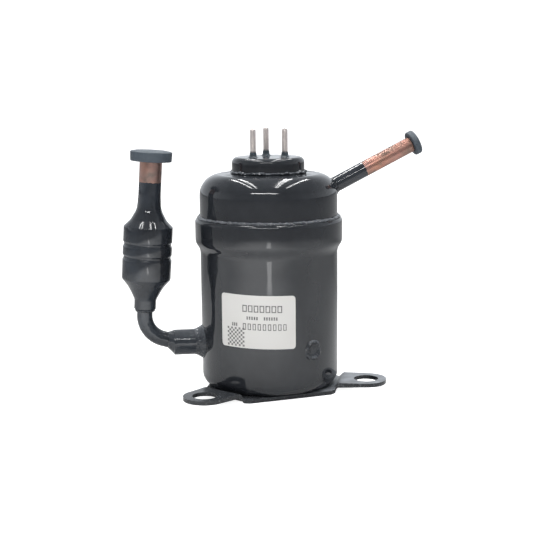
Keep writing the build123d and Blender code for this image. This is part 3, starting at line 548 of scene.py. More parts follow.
def pin_alloy():
    """Drawn nickel iron, oxidised in the sealing furnace: dull, pinkish grey, stained at the foot."""
    material, tree, principled, place = start_material("Drawn nickel iron", Metallic=1.0)
    height = add(tree, "SeparateXYZ", (place,), out="Z")
    low, high = (CUP_TOP + 1.9) * MM, (CUP_TOP + 2.7) * MM
    foot = {"Value": height, "From Min": low, "From Max": high, "To Min": 1.0, "To Max": 0.0}
    metal = patchy(tree, place, 1.5, "#d6ccc8", "#e0d6d0", detail=4.0)
    colour = add(tree, "Mix", (add(tree, "MapRange", foot), metal, "#3c4348"), data_type="RGBA")
    rough = mottle(tree, place, 0.8, 0.3, 0.44)
    finish_with(tree, principled, colour, rough, mottle(tree, place, 0.3, 0.0, 1.0), 0.15, 0.02)
    return material


def sealing_glass():
    """Fused compression glass with a resin sleeve drawn up each pin: dark and part painted over."""
    material, tree, principled, place = start_material("Fused sealing glass", IOR=1.52)
    colour = patchy(tree, place, 0.8, "#262c31", "#4a545b")
    rough = mottle(tree, place, 0.6, 0.12, 0.4)
    finish_with(tree, principled, colour, rough, mottle(tree, place, 0.5, 0.0, 1.0), 0.4, 0.08)
    return material


def inked(tree, across, up, left, right, bottom, top):
    """One inside a rectangle, none outside it."""
    sides = [
        add(tree, "Math", (place, (low + high) / 2, (high - low) / 2), operation="COMPARE")
        for place, low, high in ((across, left, right), (up, bottom, top))
    ]
    return add(tree, "Math", sides, operation="MULTIPLY")


def print_mask(tree, across, up):
    """Where ink lies on the label: rows of outlined blocks and a regular chequer. There is no lettering."""
    # a real code's squares are 0.4 mm; they are drawn at 0.84 mm so that they show
    flat = add(tree, "CombineXYZ", (across, up, 0.5))
    squares = add(tree, "TexChecker", {"Vector": flat, "Scale": 1 / 0.84}, out="Fac")
    code = inked(tree, across, up, -12.6, -5.04, -10.08, -2.52)
    mask = add(tree, "Math", (code, squares), operation="MULTIPLY")
    for left, right, bottom, top, blocks, fill, stroke in (
        (-6.0, 10.2, 3.9, 6.7, 7, 0.8, 0.42),
        (-4.3, 0.6, 0.9, 2.2, 5, 0.62, 1.0),
        (2.6, 8.3, 0.9, 2.2, 6, 0.62, 1.0),
        (-10.6, -7.9, -2.1, -0.7, 3, 0.7, 0.3),
        (-6.0, 12.0, -3.2, -0.6, 9, 0.66, 0.34),
    ):
        pitch = (right - left) / blocks
        start = add(tree, "Math", (across, left), operation="SUBTRACT")
        cell = add(tree, "Math", (start, pitch), operation="FLOORED_MODULO")
        row = inked(tree, across, up, left, right, bottom, top)
        for inset, step in ((0, "MULTIPLY"), (stroke, "SUBTRACT")):
            reach = pitch * fill / 2 - inset
            block = inked(tree, cell, up, pitch / 2 - reach, pitch / 2 + reach, bottom + inset, top - inset)
            row = add(tree, "Math", (row, block), operation=step, use_clamp=True)
        mask = add(tree, "Math", (mask, row), operation="MAXIMUM")
    return mask


def label_film():
    """Printed polyester film: pale, slightly warm, satin, with soft-edged grey ink."""
    satin = {"IOR": 1.5, "Specular_IOR_Level": 0.4}
    material, tree, principled, place = start_material("Printed polyester film", **satin)
    spot = add(tree, "Attribute", attribute_name="label_mm", out="Vector")
    across = add(tree, "SeparateXYZ", (spot,), out="X")
    up = add(tree, "SeparateXYZ", (spot,), out="Y")
    worn = add(
        tree,
        "Math",
        (print_mask(tree, across, up), mottle(tree, place, 0.5, 0.6, 0.95, detail=2.0)),
        operation="MULTIPLY",
    )
    film = patchy(tree, place, 9.0, colours().label, "#c9c7c2", 0.5)
    rough = mottle(tree, place, 4.0, 0.34, 0.46)
    colour = add(tree, "Mix", (worn, film, colours().print_ink), data_type="RGBA")
    finish_with(tree, principled, colour, rough, mottle(tree, place, 3.5, 0.0, 1.0), 0.06)
    return material


def cast_iron():
    """Grey iron, cast then ground: dark, even and slightly grainy."""
    material, tree, principled, place = start_material("Ground grey iron", Metallic=1.0)
    colour = patchy(tree, place, 0.8, "#6f7072", "#8a8b8c")
    rough = mottle(tree, place, 0.5, 0.35, 0.55)
    finish_with(tree, principled, colour, rough, mottle(tree, place, 0.4, 0.0, 1.0), 0.3, 0.04)
    return material


def lined(name, first, second, rough, pitch_mm, direction, metallic=1.0, depth_mm=0.02):
    """Lines at a fixed pitch: turning marks on steel, sheets in a stack, or turns of wire."""
    material, tree, principled, place = start_material(name, Metallic=metallic)
    # a wave of scale 1 repeats every pi / 10 metres
    wave = {"Vector": place, "Scale": pi / 10 / (pitch_mm * MM), "Distortion": 0.4, "Detail Scale": 2.0}
    lines = add(tree, "TexWave", wave, out="Fac", bands_direction=direction)
    colour = add(tree, "Mix", (lines, first, second), data_type="RGBA")
    finish_with(tree, principled, colour, mottle(tree, place, 1.0, rough, rough + 0.15), lines, 0.4, depth_mm)
    return material


def moulded(name, first, second, rough, metallic=0.0):
    """An even moulded, plated or stamped surface with slight mottling."""
    material, tree, principled, place = start_material(name, Metallic=metallic)
    colour = patchy(tree, place, 2.0, first, second)
    worn = mottle(tree, place, 1.0, rough, rough + 0.12)
    finish_with(tree, principled, colour, worn, mottle(tree, place, 0.6, 0.0, 1.0), 0.15, 0.03)
    return material


# ==== pieces =======================================================================================
class COMPRESSOR_OT_base(bpy.types.Operator):
    """Base plate: a hexagonal pressing with three ears joggled up, rolled edges and round holes"""

    bl_idname = "compressor.base"
    bl_label = "Base plate"

    def execute(self, context):
        reach, half = HOLE_PCD / 2 + 8.25, 8.25
        corners, holes = [], []
        for turn in range(3):
            azimuth = EAR_AZIMUTH + 120 * turn
            out, side = polar(1, azimuth), polar(1, azimuth + 90)
            for u, v, radius in (
                (27.2, -12.2, 2.4), (28.6, -9.25, 1.4),
                (reach, -half, half - 0.06),
                (reach, half, half - 0.06),
                (28.6, 9.25, 1.4), (27.2, 12.2, 2.4),
            ):
                corners.append(((out * u + side * v).to_2d(), radius))
            holes.append(circle_loop(out * (HOLE_PCD / 2), HOLE_R, 48))

        def lift(spot):
            """The ears rise over a short slope; the plate's corners beside them stay flat."""
            height = 0.0
            for turn in range(3):
                azimuth = EAR_AZIMUTH + 120 * turn
                u = spot.dot(polar(1, azimuth).to_2d())
                v = abs(spot.dot(polar(1, azimuth + 90).to_2d()))
                beside = smooth_step((9.9 - v) / 0.6)
                height = max(height, EAR_LIFT * smooth_step((u - 26.4) / 4.0) * beside)
            return height

        bm = bmesh.new()
        slab(bm, rounded(corners, arc_step=9.0, closed=True), holes, lift, PLATE_T, 0.9)
        piece("base_plate_pressing", bm, rubbed_enamel(), "base_plate", sharp=50, bevel=0.3)
        return {"FINISHED"}


class COMPRESSOR_OT_shell(bpy.types.Operator):
    """Drawn shell with its expanded mouth, and the pressed cap that sits in it"""

    bl_idname = "compressor.shell"
    bl_label = "Shell and cap"

    def execute(self, context):
        black = enamel()
        inner = SHELL_R - WALL
        outline = rounded(
            (
                ((0, PLATE_T), 0), ((SHELL_R, PLATE_T), BOTTOM_CORNER_R), ((SHELL_R, COLLAR_START + 1.2), 5.0),
                ((COLLAR_R, COLLAR_FULL - 0.6), 4.0), ((COLLAR_R, COLLAR_TOP), 1.6),
                ((SHELL_R + 0.03, COLLAR_TOP), 0), ((SHELL_R + 0.03, CAP_BOTTOM - 0.3), 0),
                ((inner, CAP_BOTTOM - 2.6), 0), ((inner, PLATE_T + WALL), BOTTOM_CORNER_R - WALL),
                ((0, PLATE_T + WALL), 0),
            ),
            arc_step=9.0,
        )
        # the long straight wall needs rings of its own for the slight waviness of drawn steel
        heights = [PLATE_T + BOTTOM_CORNER_R + 4.0 * k for k in range(1, 12)]
        wall_start = next(i for i, p in enumerate(outline) if p.x > SHELL_R - 1e-4)
        outline[wall_start + 1 : wall_start + 1] = [Vector((SHELL_R, z)) for z in heights]

        def waviness(angle, r, z):
            if r < SHELL_R - 0.5 or z < 8:
                return 0.0
            return 0.035 * noise.noise(Vector((cos(angle) * 2.2, sin(angle) * 2.2, z / 11)))

        bm = bmesh.new()
        lathe(bm, outline, wobble=waviness)
        piece("drawn_shell", bm, black, "main_shell")

        knuckle_r = SHELL_R - KNUCKLE_R

        def crown_at(r):
            return CAP_APEX - r * r / (2 * CROWN_R)

        crown_rs = [knuckle_r + 0.4 - (knuckle_r + 0.4 - CAP_OPENING_R) * k / 6 for k in range(1, 7)]
        outline = [(inner, CAP_BOTTOM), (SHELL_R, CAP_BOTTOM), (SHELL_R, 73.5), (SHELL_R, 76.5)]
        outline += arc((knuckle_r, KNUCKLE_Z), KNUCKLE_R, 0, 84, 14)
        outline += [(r, crown_at(r)) for r in crown_rs]
        outline += [(CAP_OPENING_R, crown_at(CAP_OPENING_R) - WALL)]
        outline += arc((knuckle_r, KNUCKLE_Z), KNUCKLE_R - WALL, 84, 0, 8)
        bm = bmesh.new()
        lathe(bm, outline)
        piece("pressed_cap", bm, black, "upper_cap")
        return {"FINISHED"}


class COMPRESSOR_OT_welds(bpy.types.Operator):
    """Weld beads: the seam round the mouth, the terminal's foot, the plug welds and the stub's fillet"""

    bl_idname = "compressor.welds"
    bl_label = "Welds"

    def execute(self, context):
        random.seed(7)
        # pale upward faces and paler patches on the beads stand in for their glints: painted highlight, with
        # some dust
        beaded = {"gloss": 0.03, "peel": 1.0, "peel_mm": 0.9, "thin": "#50565e", "depth_mm": 0.16}
        glossy = enamel("Enamel over weld beads, painted glints", dust_and_sheen_amount=0.6, **beaded)
        path = circle_path((0, 0, COLLAR_TOP + 0.15), (0, 0, 1), SHELL_R + 0.25, 420)
        for i, (centre, out, up) in enumerate(path):
            drift = 0.18 * noise.noise(centre / 5.5) + 0.07 * noise.noise(centre / 1.3)
            path[i] = (centre + up * drift + out * 0.1 * noise.noise(centre / 4), out, up)
        bm = bmesh.new()
        ring_bead(bm, path, bead_section(path, sizes().seam_bead, 0.72, 3.0, ripple=1.2, sides=18))
        piece("seam_bead", bm, glossy, "seam_weld")

        lumps = []
        for _ in range(46):
            azimuth = random.uniform(-175, 60) if random.random() < 0.75 else random.uniform(60, 185)
            spot = polar(CUP_R + 0.35, azimuth, CUP_BOTTOM + 0.1)
            lumps.append((spot, random.uniform(0.25, 0.85), random.uniform(0.1, 1.2)))
        path = circle_path((0, 0, CUP_BOTTOM + 0.1), (0, 0, 1), CUP_R + 0.05, 460)
        bm = bmesh.new()
        ring_bead(bm, path, bead_section(path, 0.62, 0.52, 11.0, sides=12, lumps=lumps))
        piece("terminal_bead", bm, glossy, "terminal_weld")

        bm = bmesh.new()
        for index, azimuth in enumerate(PLUG_WELD_AZIMUTHS):
            out, side = polar(1, azimuth), polar(1, azimuth + 90)
            self.plug_weld(bm, out, side, Vector((0, 0, 1)), index)
        piece("plug_weld_beads", bm, glossy, "plug_welds")

        # the fillet follows the shell's curve round the stub, so it is thicker above and below
        bm = bmesh.new()
        path = []
        for k in range(120):
            angle = 2 * pi * k / 120
            across, height = (STUB_R + 0.75) * cos(angle), (STUB_R + 0.75) * sin(angle)
            on_shell = Vector((-sqrt(SHELL_R**2 - across**2), -across, STUB_Z + height))
            radial = Vector((0, -cos(angle), sin(angle)))
            path.append((on_shell, radial, Vector((-1, 0, 0))))
        uneven = bead_section(path, 1.0, 1.0, 23.0, sides=12)

        def fillet(i):
            scale = 1 + 0.075 * sin(2 * pi * i / 120 * 5 + 1.3)
            profile = ((-1.1, -0.9), (1.25, -0.9), (1.3, -0.1), (0.95, 0.75))
            profile += ((0.35, 1.55), (-0.2, 2.6), (-0.55, 3.9), (-0.95, 4.2))
            rough = [a for a, _ in uneven(i)]
            return [
                (a * scale + 0.12 * (rough[k] - 1), b + 0.25 * (rough[(k + 3) % 12] - 0.5))
                for k, (a, b) in enumerate(profile)
            ]

        ring_bead(bm, path, fillet)
        made = piece("stub_fillet", bm, glossy, "stub_weld", sharp=60)
        soft = made.modifiers.new("Melted surface", "SUBSURF")
        soft.levels = soft.render_levels = 1
        return {"FINISHED"}

    def plug_weld(self, bm, out, side, up, index):
        """A shallow filled hole: a raised uneven ring round a sunken, rippled middle."""
        rings, steps = [], 56
        profile = ((0, 0.1), (1.2, 0.05), (2.1, 0.15), (2.6, 0.6), (3.1, 0.95), (3.6, 0.85), (4.0, 0.35))
        profile += ((4.25, -0.25), (4.3, -1.0))
        for radius, rise in profile:
            ring = []
            for k in range(steps if radius else 1):
                angle = 2 * pi * k / steps
                place = Vector((cos(angle) * 2.3, sin(angle) * 2.3, index * 5 + radius / 3))
                reach = radius * (1 + 0.09 * noise.noise(place / 1.6))
                across, height = reach * cos(angle), reach * sin(angle)
                surface = sqrt(SHELL_R**2 - across**2)
                uneven = 0.85 + 0.6 * noise.noise(place * 1.1) + 0.35 * noise.noise(place * 3.1)
                bead = rise * (uneven if rise > 0 else 1)
                ring.append(bm.verts.new(out * (surface + bead) + side * across + up * (STUB_Z + height)))
            rings.append(ring)
        for this, other in zip(rings, rings[1:]):
            for k in range(steps):
                n = (k + 1) % steps
                face = [this[k % len(this)], other[k], other[n], this[n % len(this)]]
                bm.faces.new(list(dict.fromkeys(face)))
        bm.faces.new(rings[-1][::-1])


class COMPRESSOR_OT_terminal(bpy.types.Operator):
    """Electrical terminal: a pressed cup with three glass seals and three pins"""

    bl_idname = "compressor.terminal"
    bl_label = "Electrical terminal"

    def execute(self, context):
        flat_r, wall, segments = CUP_R - 2.2, 1.8, 120
        bm = bmesh.new()
        holes = [circle_loop(polar(PIN_CIRCLE_R, a), GLASS_R, 36) for a in PIN_AZIMUTHS]
        slab(bm, circle_loop((0, 0), flat_r, segments), holes, lambda spot: CUP_TOP - wall, wall, 1.8)
        rim = [f for f in bm.faces if all(abs(v.co.to_2d().length - flat_r) < 1e-3 for v in f.verts)]
        bmesh.ops.delete(bm, geom=rim, context="FACES_ONLY")
        outline = arc((flat_r, CUP_TOP - 2.2), 2.2, 90, 0, 10)
        outline += [(CUP_R, CUP_BOTTOM + 2), (CUP_R, CUP_BOTTOM), (CUP_R - wall, CUP_BOTTOM)]
        outline += [(CUP_R - wall, CUP_TOP - wall), (flat_r, CUP_TOP - wall)]
        rings = lathe(bm, outline, segments=segments)
        closing = {v for v in rings[0]} | {v for v in rings[-1]}
        inner_wall = [f for f in bm.faces if all(v in closing for v in f.verts)]
        bmesh.ops.delete(bm, geom=inner_wall, context="FACES_ONLY")
        dark = enamel("Enamel on terminal cup", dust_and_sheen_amount=0.1, peel=0.2)
        piece("terminal_cup_pressing", bm, dark, "terminal_cup")

        bm = bmesh.new()
        neck, depth = PIN_R + 0.02, 3.2
        meniscus = [(GLASS_R - 0.01, CUP_TOP - depth), (GLASS_R - 0.01, CUP_TOP + 0.02)]
        for share in (0.15, 0.35, 0.6, 0.85):
            narrowed = GLASS_R - (GLASS_R - 1.42) * sin(share * pi / 2)
            meniscus.append((narrowed, CUP_TOP + 1.05 * share * share))
        collar = (((1.4, CUP_TOP + 1.1), 0), ((1.36, CUP_TOP + 2.0), 0.12), ((neck, CUP_TOP + 2.0), 0))
        meniscus += [*rounded(collar), (neck, CUP_TOP - depth)]
        for azimuth in PIN_AZIMUTHS:
            lathe(bm, meniscus, Matrix.Translation(polar(PIN_CIRCLE_R, azimuth)), 36)
        piece("pin_seals", bm, sealing_glass(), "glass_seals", slot="sealing_glass")

        bm = bmesh.new()
        bottom, neck_r, neck_top = box_mm("terminal_pins")[0].z, 0.9, CUP_TOP + 0.4
        outline = [(0, bottom), (neck_r, bottom), (neck_r, neck_top), (PIN_R, neck_top), (PIN_R, CUP_TOP + 5)]
        outline += [*arc((PIN_R - 0.85, PIN_TOP - 0.85), 0.85, 0, 90, 8), (0, PIN_TOP)]
        for azimuth in PIN_AZIMUTHS:
            lathe(bm, outline, Matrix.Translation(polar(PIN_CIRCLE_R, azimuth)), 32)
        piece("contact_pins", bm, pin_alloy(), "terminal_pins", slot="terminal_pin_alloy")
        return {"FINISHED"}


class COMPRESSOR_OT_discharge(bpy.types.Operator):
    """Discharge tube with its brazed foot and rubber plug"""

    bl_idname = "compressor.discharge"
    bl_label = "Discharge tube"

    def execute(self, context):
        matrix = axis_matrix(DISCHARGE_ROOT, DISCHARGE_AXIS)
        inside, swage, out, bore = -7.0, 1.5, 37.6, TUBE_R - TUBE_WALL
        bm = bmesh.new()
        outline = rounded(
            (
                ((bore, inside), 0), ((2.9, inside), 0), ((2.9, swage), 0), ((TUBE_R, swage + 0.1), 0),
                ((TUBE_R, 20.0), 0), ((TUBE_R, out), 0.25), ((bore, out), 0.2), ((bore, out - 1), 0),
            ),
        )
        lathe(bm, outline, matrix, 72)
        copper = painted_copper(
            "Drawn copper, part enamelled", DISCHARGE_ROOT, DISCHARGE_AXIS, sizes().paint_edge, 0.75, 0.0
        )
        piece("discharge_pipe", bm, copper, "discharge_tube", slot="copper_tube")

        # the braze runs up the tube and out over the cap's slope
        bm = bmesh.new()
        path = circle_path(DISCHARGE_ROOT, DISCHARGE_AXIS, TUBE_R, 90)
        uneven = bead_section(path, 1.0, 1.0, 31.0, sides=8)

        def fillet(i):
            grow = [abs(a) + abs(b) for a, b in uneven(i)]
            profile = ((-0.25, -1.15), (1.05, -1.15), (1.0, -0.2), (0.62, 0.45))
            profile += ((0.3, 0.95), (0.04, 1.35), (-0.2, 1.35))
            return [(a, b * (0.85 + 0.15 * grow[k])) for k, (a, b) in enumerate(profile)]

        ring_bead(bm, path, fillet)
        black = enamel("Enamel over braze", dust_and_sheen_amount=0.05, peel=0.25)
        piece("discharge_fillet", bm, black, "discharge_braze", sharp=70)

        bm = bmesh.new()
        disc, stem = 5.1, bore - 0.05
        outline = rounded(
            (
                ((0, out - 9), 0), ((stem, out - 9), 0.4), ((stem, out + 0.05), 0), ((disc, out + 0.05), 0.5),
                ((disc, out + 2.75), 0.55), ((3.9, out + 2.75), 0.3), ((3.6, out + 2.45), 0.3),
                ((0, out + 2.45), 0),
            ),
        )
        lathe(bm, outline, matrix, 72)
        piece("discharge_bung", bm, rubber(), "discharge_plug", body="discharge_cap", slot="plug_rubber")
        return {"FINISHED"}


class COMPRESSOR_OT_accumulator(bpy.types.Operator):
    """Spun copper accumulator with two rolled grooves, its lower braze and its rubber plug"""

    bl_idname = "compressor.accumulator"
    bl_label = "Accumulator"

    def execute(self, context):
        matrix = axis_matrix(SUCTION_FOOT, SUCTION_AXIS)
        wall, top, body_r = 0.9, 59.8, ACC_BODY_R

        def groove(height):
            return (
                ((body_r, height - 1.1), 0.5), ((body_r - 0.42, height - 0.35), 0.35),
                ((body_r - 0.42, height + 0.35), 0.35), ((body_r, height + 1.1), 0.5),
            )

        outline = rounded(
            (
                ((4.4 - wall, 0), 0), ((4.4, 0), 0.12), ((4.4, 3.9), 3.5), ((7.0, 9.0), 14.0),
                ((body_r - 0.1, 12.3), 1.6), *groove(21.3), *groove(26.6), ((body_r, 33.6), 0.55),
                ((7.3, 36.2), 3.5), ((4.85, 40.6), 8.0), ((4.5, 46.5), 6.0), ((ACC_NECK_R, top), 0.25),
                ((ACC_NECK_R - wall, top), 0.2), ((ACC_NECK_R - wall, 43.0), 0), ((5.7, 36.8), 0),
                ((body_r - 1.5, 32.8), 0), ((body_r - 1.5, 12.2), 0), ((4.4 - wall, 3.6), 0),
            ),
            arc_step=12.0,
        )

        def dents(angle, r, z):
            if r < body_r - 1 or not 12 < z < 34:
                return 0.0
            return min(0.0, 0.02 * noise.noise(Vector((cos(angle), sin(angle), z / 5)) * 1.7))

        bm = bmesh.new()
        lathe(bm, outline, matrix, 128, wobble=dents)
        copper = painted_copper(
            "Spun copper, enamelled below", SUCTION_FOOT, SUCTION_AXIS, sizes().neck_paint_edge, 0.9, 0.3
        )
        piece("accumulator_can", bm, copper, "accumulator_shell", slot="copper_tube", sharp=50)

        bm = bmesh.new()
        path = circle_path(SUCTION_FOOT - 0.5 * SUCTION_AXIS, SUCTION_AXIS, TUBE_R + 0.35, 80)
        ring_bead(bm, path, bead_section(path, 0.5, 0.62, 41.0, sides=12))
        black = enamel("Enamel over lower braze", dust_and_sheen_amount=0.05, peel=0.25, thin="#454c55")
        piece("accumulator_joint", bm, black, "accumulator_braze")

        bm = bmesh.new()
        stem, disc, base, thick = ACC_NECK_R - wall - 0.05, 8.5, top + 0.05, 4.3
        outline = rounded(
            (
                ((0, top - 9), 0), ((stem, top - 9), 0.5), ((stem, base), 0), ((disc - 0.25, base), 0.45),
                ((disc, base + thick - 0.55), 0.3), ((disc - 0.5, base + thick - 0.25), 0.3),
                ((disc - 1.4, base + thick - 0.3), 0.3), ((disc - 1.9, base + thick), 0.3),
                ((3.0, base + thick - 0.12), 2.0), ((0, base + thick - 0.35), 0),
            ),
        )

        def flash(angle, r, z):
            """Torn moulding flash round the top edge."""
            if z < base + thick - 1.2 or r < disc - 2.2:
                return 0.0
            return 0.14 * noise.noise(Vector((cos(angle) * 3.5, sin(angle) * 3.5, 2.0))) - 0.1

        lathe(bm, outline, matrix, 128, wobble=flash)
        piece("suction_bung", bm, rubber(), "suction_plug", body="suction_cap", slot="plug_rubber", sharp=45)
        return {"FINISHED"}


class COMPRESSOR_OT_suction(bpy.types.Operator):
    """Suction stub, the bent copper elbow and the braze that joins them"""

    bl_idname = "compressor.suction"
    bl_label = "Suction elbow and stub"

    def execute(self, context):
        dipped = {"dust_and_sheen_amount": 0.3, "gloss": 0.03, "thin": "#4f5760"}
        dipped |= {"peel": 0.6, "peel_mm": 1.6, "depth_mm": 0.08}
        glossy = enamel("Enamel on suction stub", **dipped)
        outward = Vector((-1, 0, 0))
        bm = bmesh.new()
        bore = STUB_R - 1.0
        outline = rounded(
            (
                ((bore, 26.4), 0), ((STUB_R, 26.4), 0), ((STUB_R, 33.0), 0), ((STUB_R, STUB_MOUTH), 0.3),
                ((bore, STUB_MOUTH), 0.15), ((bore, 33.0), 0),
            ),
        )
        lathe(bm, outline, axis_matrix((0, 0, STUB_Z), outward), 80)
        piece("suction_sleeve", bm, glossy, "suction_stub")

        # the elbow's centreline lies in the XZ plane: standpipe, quarter bend, sloping run, level run
        lean = atan2(SUCTION_AXIS.x, SUCTION_AXIS.z)
        slope = radians(17.0)
        entry = Vector((-(STUB_MOUTH - 1.4), 0, STUB_Z))
        fall = SUCTION_FOOT.z - entry.z - tan(slope) * (entry.x - SUCTION_FOOT.x)
        corner = SUCTION_FOOT - SUCTION_AXIS * (fall / (cos(lean) + tan(slope) * sin(lean)))
        centreline = rounded(
            (
                (SUCTION_FOOT + 28.6 * SUCTION_AXIS, 0),
                (corner, 10.0),
                (entry, 12.0),
                (Vector((-24.6, 0, STUB_Z)), 0),
            ),
            arc_step=5.0,
        )
        path = []
        for i, centre in enumerate(centreline):
            ahead = centreline[min(i + 1, len(centreline) - 1)] - centreline[max(i - 1, 0)]
            side = Vector((0, 1, 0))
            path.append((centre, ahead.normalized().cross(side), side))
        bm = bmesh.new()
        steps, bore = 48, TUBE_R - TUBE_WALL
        rings = []
        for centre, across, side in path:
            for radius in (TUBE_R, bore):
                angles = [2 * pi * k / steps for k in range(steps)]
                ring = [centre + across * radius * cos(a) + side * radius * sin(a) for a in angles]
                rings.append([bm.verts.new(point) for point in ring])
        outer, inner = rings[0::2], rings[1::2]
        ends = [(inner[0], outer[0]), (outer[-1], inner[-1])]
        for this, other in [*zip(outer, outer[1:]), *zip(inner[1:], inner), *ends]:
            for k in range(steps):
                n = (k + 1) % steps
                bm.faces.new((this[k], this[n], other[n], other[k]))
        bend = enamel("Enamel on copper elbow", **dipped)
        piece("suction_bend", bm, bend, "suction_elbow", slot="copper_tube", sharp=50)

        # braze cone between the sleeve's mouth and the thinner elbow
        bm = bmesh.new()
        path = []
        for share in (0, 0.2, 0.45, 0.75, 1.0):
            centre = Vector((-(STUB_MOUTH - 0.1 + 2.5 * share), 0, STUB_Z + 0.1 + 0.9 * share))
            path.append((centre, Vector((0, 1, 0)), Vector((0, 0, 1))))

        def cone(i):
            share = (0, 0.2, 0.45, 0.75, 1.0)[i]
            radius = STUB_R - 0.12 - (STUB_R - TUBE_R - 0.35) * share**0.8
            loop = []
            for k in range(64):
                a = 2 * pi * k / 64
                rough = 1 + 0.05 * noise.noise(Vector((cos(a) * 2, sin(a) * 2, share * 3)))
                loop.append((radius * rough * cos(a), radius * rough * sin(a)))
            return loop

        ring_bead(bm, path, cone, closed=False)
        piece("elbow_joint", bm, glossy, "elbow_braze", sharp=70)
        return {"FINISHED"}


class COMPRESSOR_OT_label(bpy.types.Operator):
    """Rating label: a thin film wrapped on the shell, printed with plain blocks and a chequer only"""

    bl_idname = "compressor.label"
    bl_label = "Rating label"

    def execute(self, context):
        half_w, half_h, corner = 15.4, (LABEL_TOP - LABEL_BOTTOM) / 2 - 0.2, 1.3
        middle, thick, gap = (LABEL_TOP + LABEL_BOTTOM) / 2, 0.1, 0.05
        columns, rows = 64, 24
        tilt = sizes().label_tilt
        bm = bmesh.new()
        place = bm.verts.layers.float_vector.new("label_mm")
        sheets = []
        for layer in (gap, gap + thick):
            grid = []
            for i in range(columns + 1):
                column = []
                for j in range(rows + 1):
                    across, up = half_w * (2 * i / columns - 1), half_h * (2 * j / rows - 1)
                    # pull the grid's corners in to the corner radius
                    over = Vector((abs(across) - half_w + corner, abs(up) - half_h + corner))
                    if over.x > 0 and over.y > 0:
                        pulled = over * (max(over) / over.length)
                        across = (half_w - corner + pulled.x) * (1 if across > 0 else -1)
                        up = (half_h - corner + pulled.y) * (1 if up > 0 else -1)
                    angle = LABEL_AZIMUTH + degrees(across / SHELL_R)
                    vertex = bm.verts.new(polar(SHELL_R + layer, angle, middle + up - tilt * across / half_w))
                    vertex[place] = (across, up, 0)
                    column.append(vertex)
                grid.append(column)
            sheets.append(grid)
        for grid in sheets:
            for i in range(columns):
                for j in range(rows):
                    bm.faces.new((grid[i][j], grid[i + 1][j], grid[i + 1][j + 1], grid[i][j + 1]))
        under, over = sheets
        border = [(i, 0) for i in range(columns)] + [(columns, j) for j in range(rows)]
        border += [(i, rows) for i in range(columns, 0, -1)] + [(0, j) for j in range(rows, 0, -1)]
        for (a, b), (c, d) in zip(border, border[1:] + border[:1]):
            bm.faces.new((under[a][b], under[c][d], over[c][d], over[a][b]))
        piece("label_sheet", bm, label_film(), "rating_label", slot="label_film", sharp=60)
        return {"FINISHED"}


class COMPRESSOR_OT_inside(bpy.types.Operator):
    """Finishes of the pump and motor pieces that the welded shell hides"""

    bl_idname = "compressor.inside"
    bl_label = "Inner finishes"

    def execute(self, context):
        iron = cast_iron()
        # turning marks are 0.1 mm apart and are drawn at 0.4 mm so that they show
        steel = lined("Turned steel", "#9a9c9e", "#a9abad", 0.22, 0.4, "Z")
        # sheets are 0.5 mm thick
        stack = lined("Stacked electrical steel", "#5d6063", "#85898d", 0.4, 0.5, "Z", depth_mm=0.05)
        # magnet wire is 0.6 mm over its enamel
        wire = lined("Enamelled magnet wire", "#7a3417", "#b5602c", 0.3, 0.6, "DIAGONAL", 0.0, 0.15)
        magnet = moulded("Sintered magnet, nickel plated", "#6a6b6d", "#77787a", 0.3, 1.0)
        resin = moulded("Moulded polyester resin", "#d8d4c8", "#e2dfd6", 0.45)
        sleeve = lined("Braided lead sleeve", "#5b2724", "#7c3a34", 0.6, 0.5, "DIAGONAL", 0.0, 0.05)
        brass = moulded("Stamped brass", "#b39a5c", "#c2a868", 0.3, 1.0)
        finishes = {
            iron: "pump_cylinder main_bearing lower_bearing rolling_piston",
            steel: "crankshaft vane discharge_reed valve_stop valve_screw vane_spring upper_pump_bolts "
            "lower_pump_bolts discharge_muffler oil_pickup rotor_sleeve rotor_end_plates rotor_rivets "
            "accumulator_baffle accumulator_screen",
            stack: "stator_core rotor_core",
            wire: "stator_windings",
            magnet: "rotor_magnets",
            resin: "upper_insulator lower_insulator lead_connector",
            sleeve: "motor_leads",
            brass: "upper_balance_weight lower_balance_weight",
        }
        for material, names in finishes.items():
            for node_name in names.split():
                mesh = frame["nodes"][node_name].data
                mesh.materials.clear()
                mesh.materials.append(material)
        return {"FINISHED"}


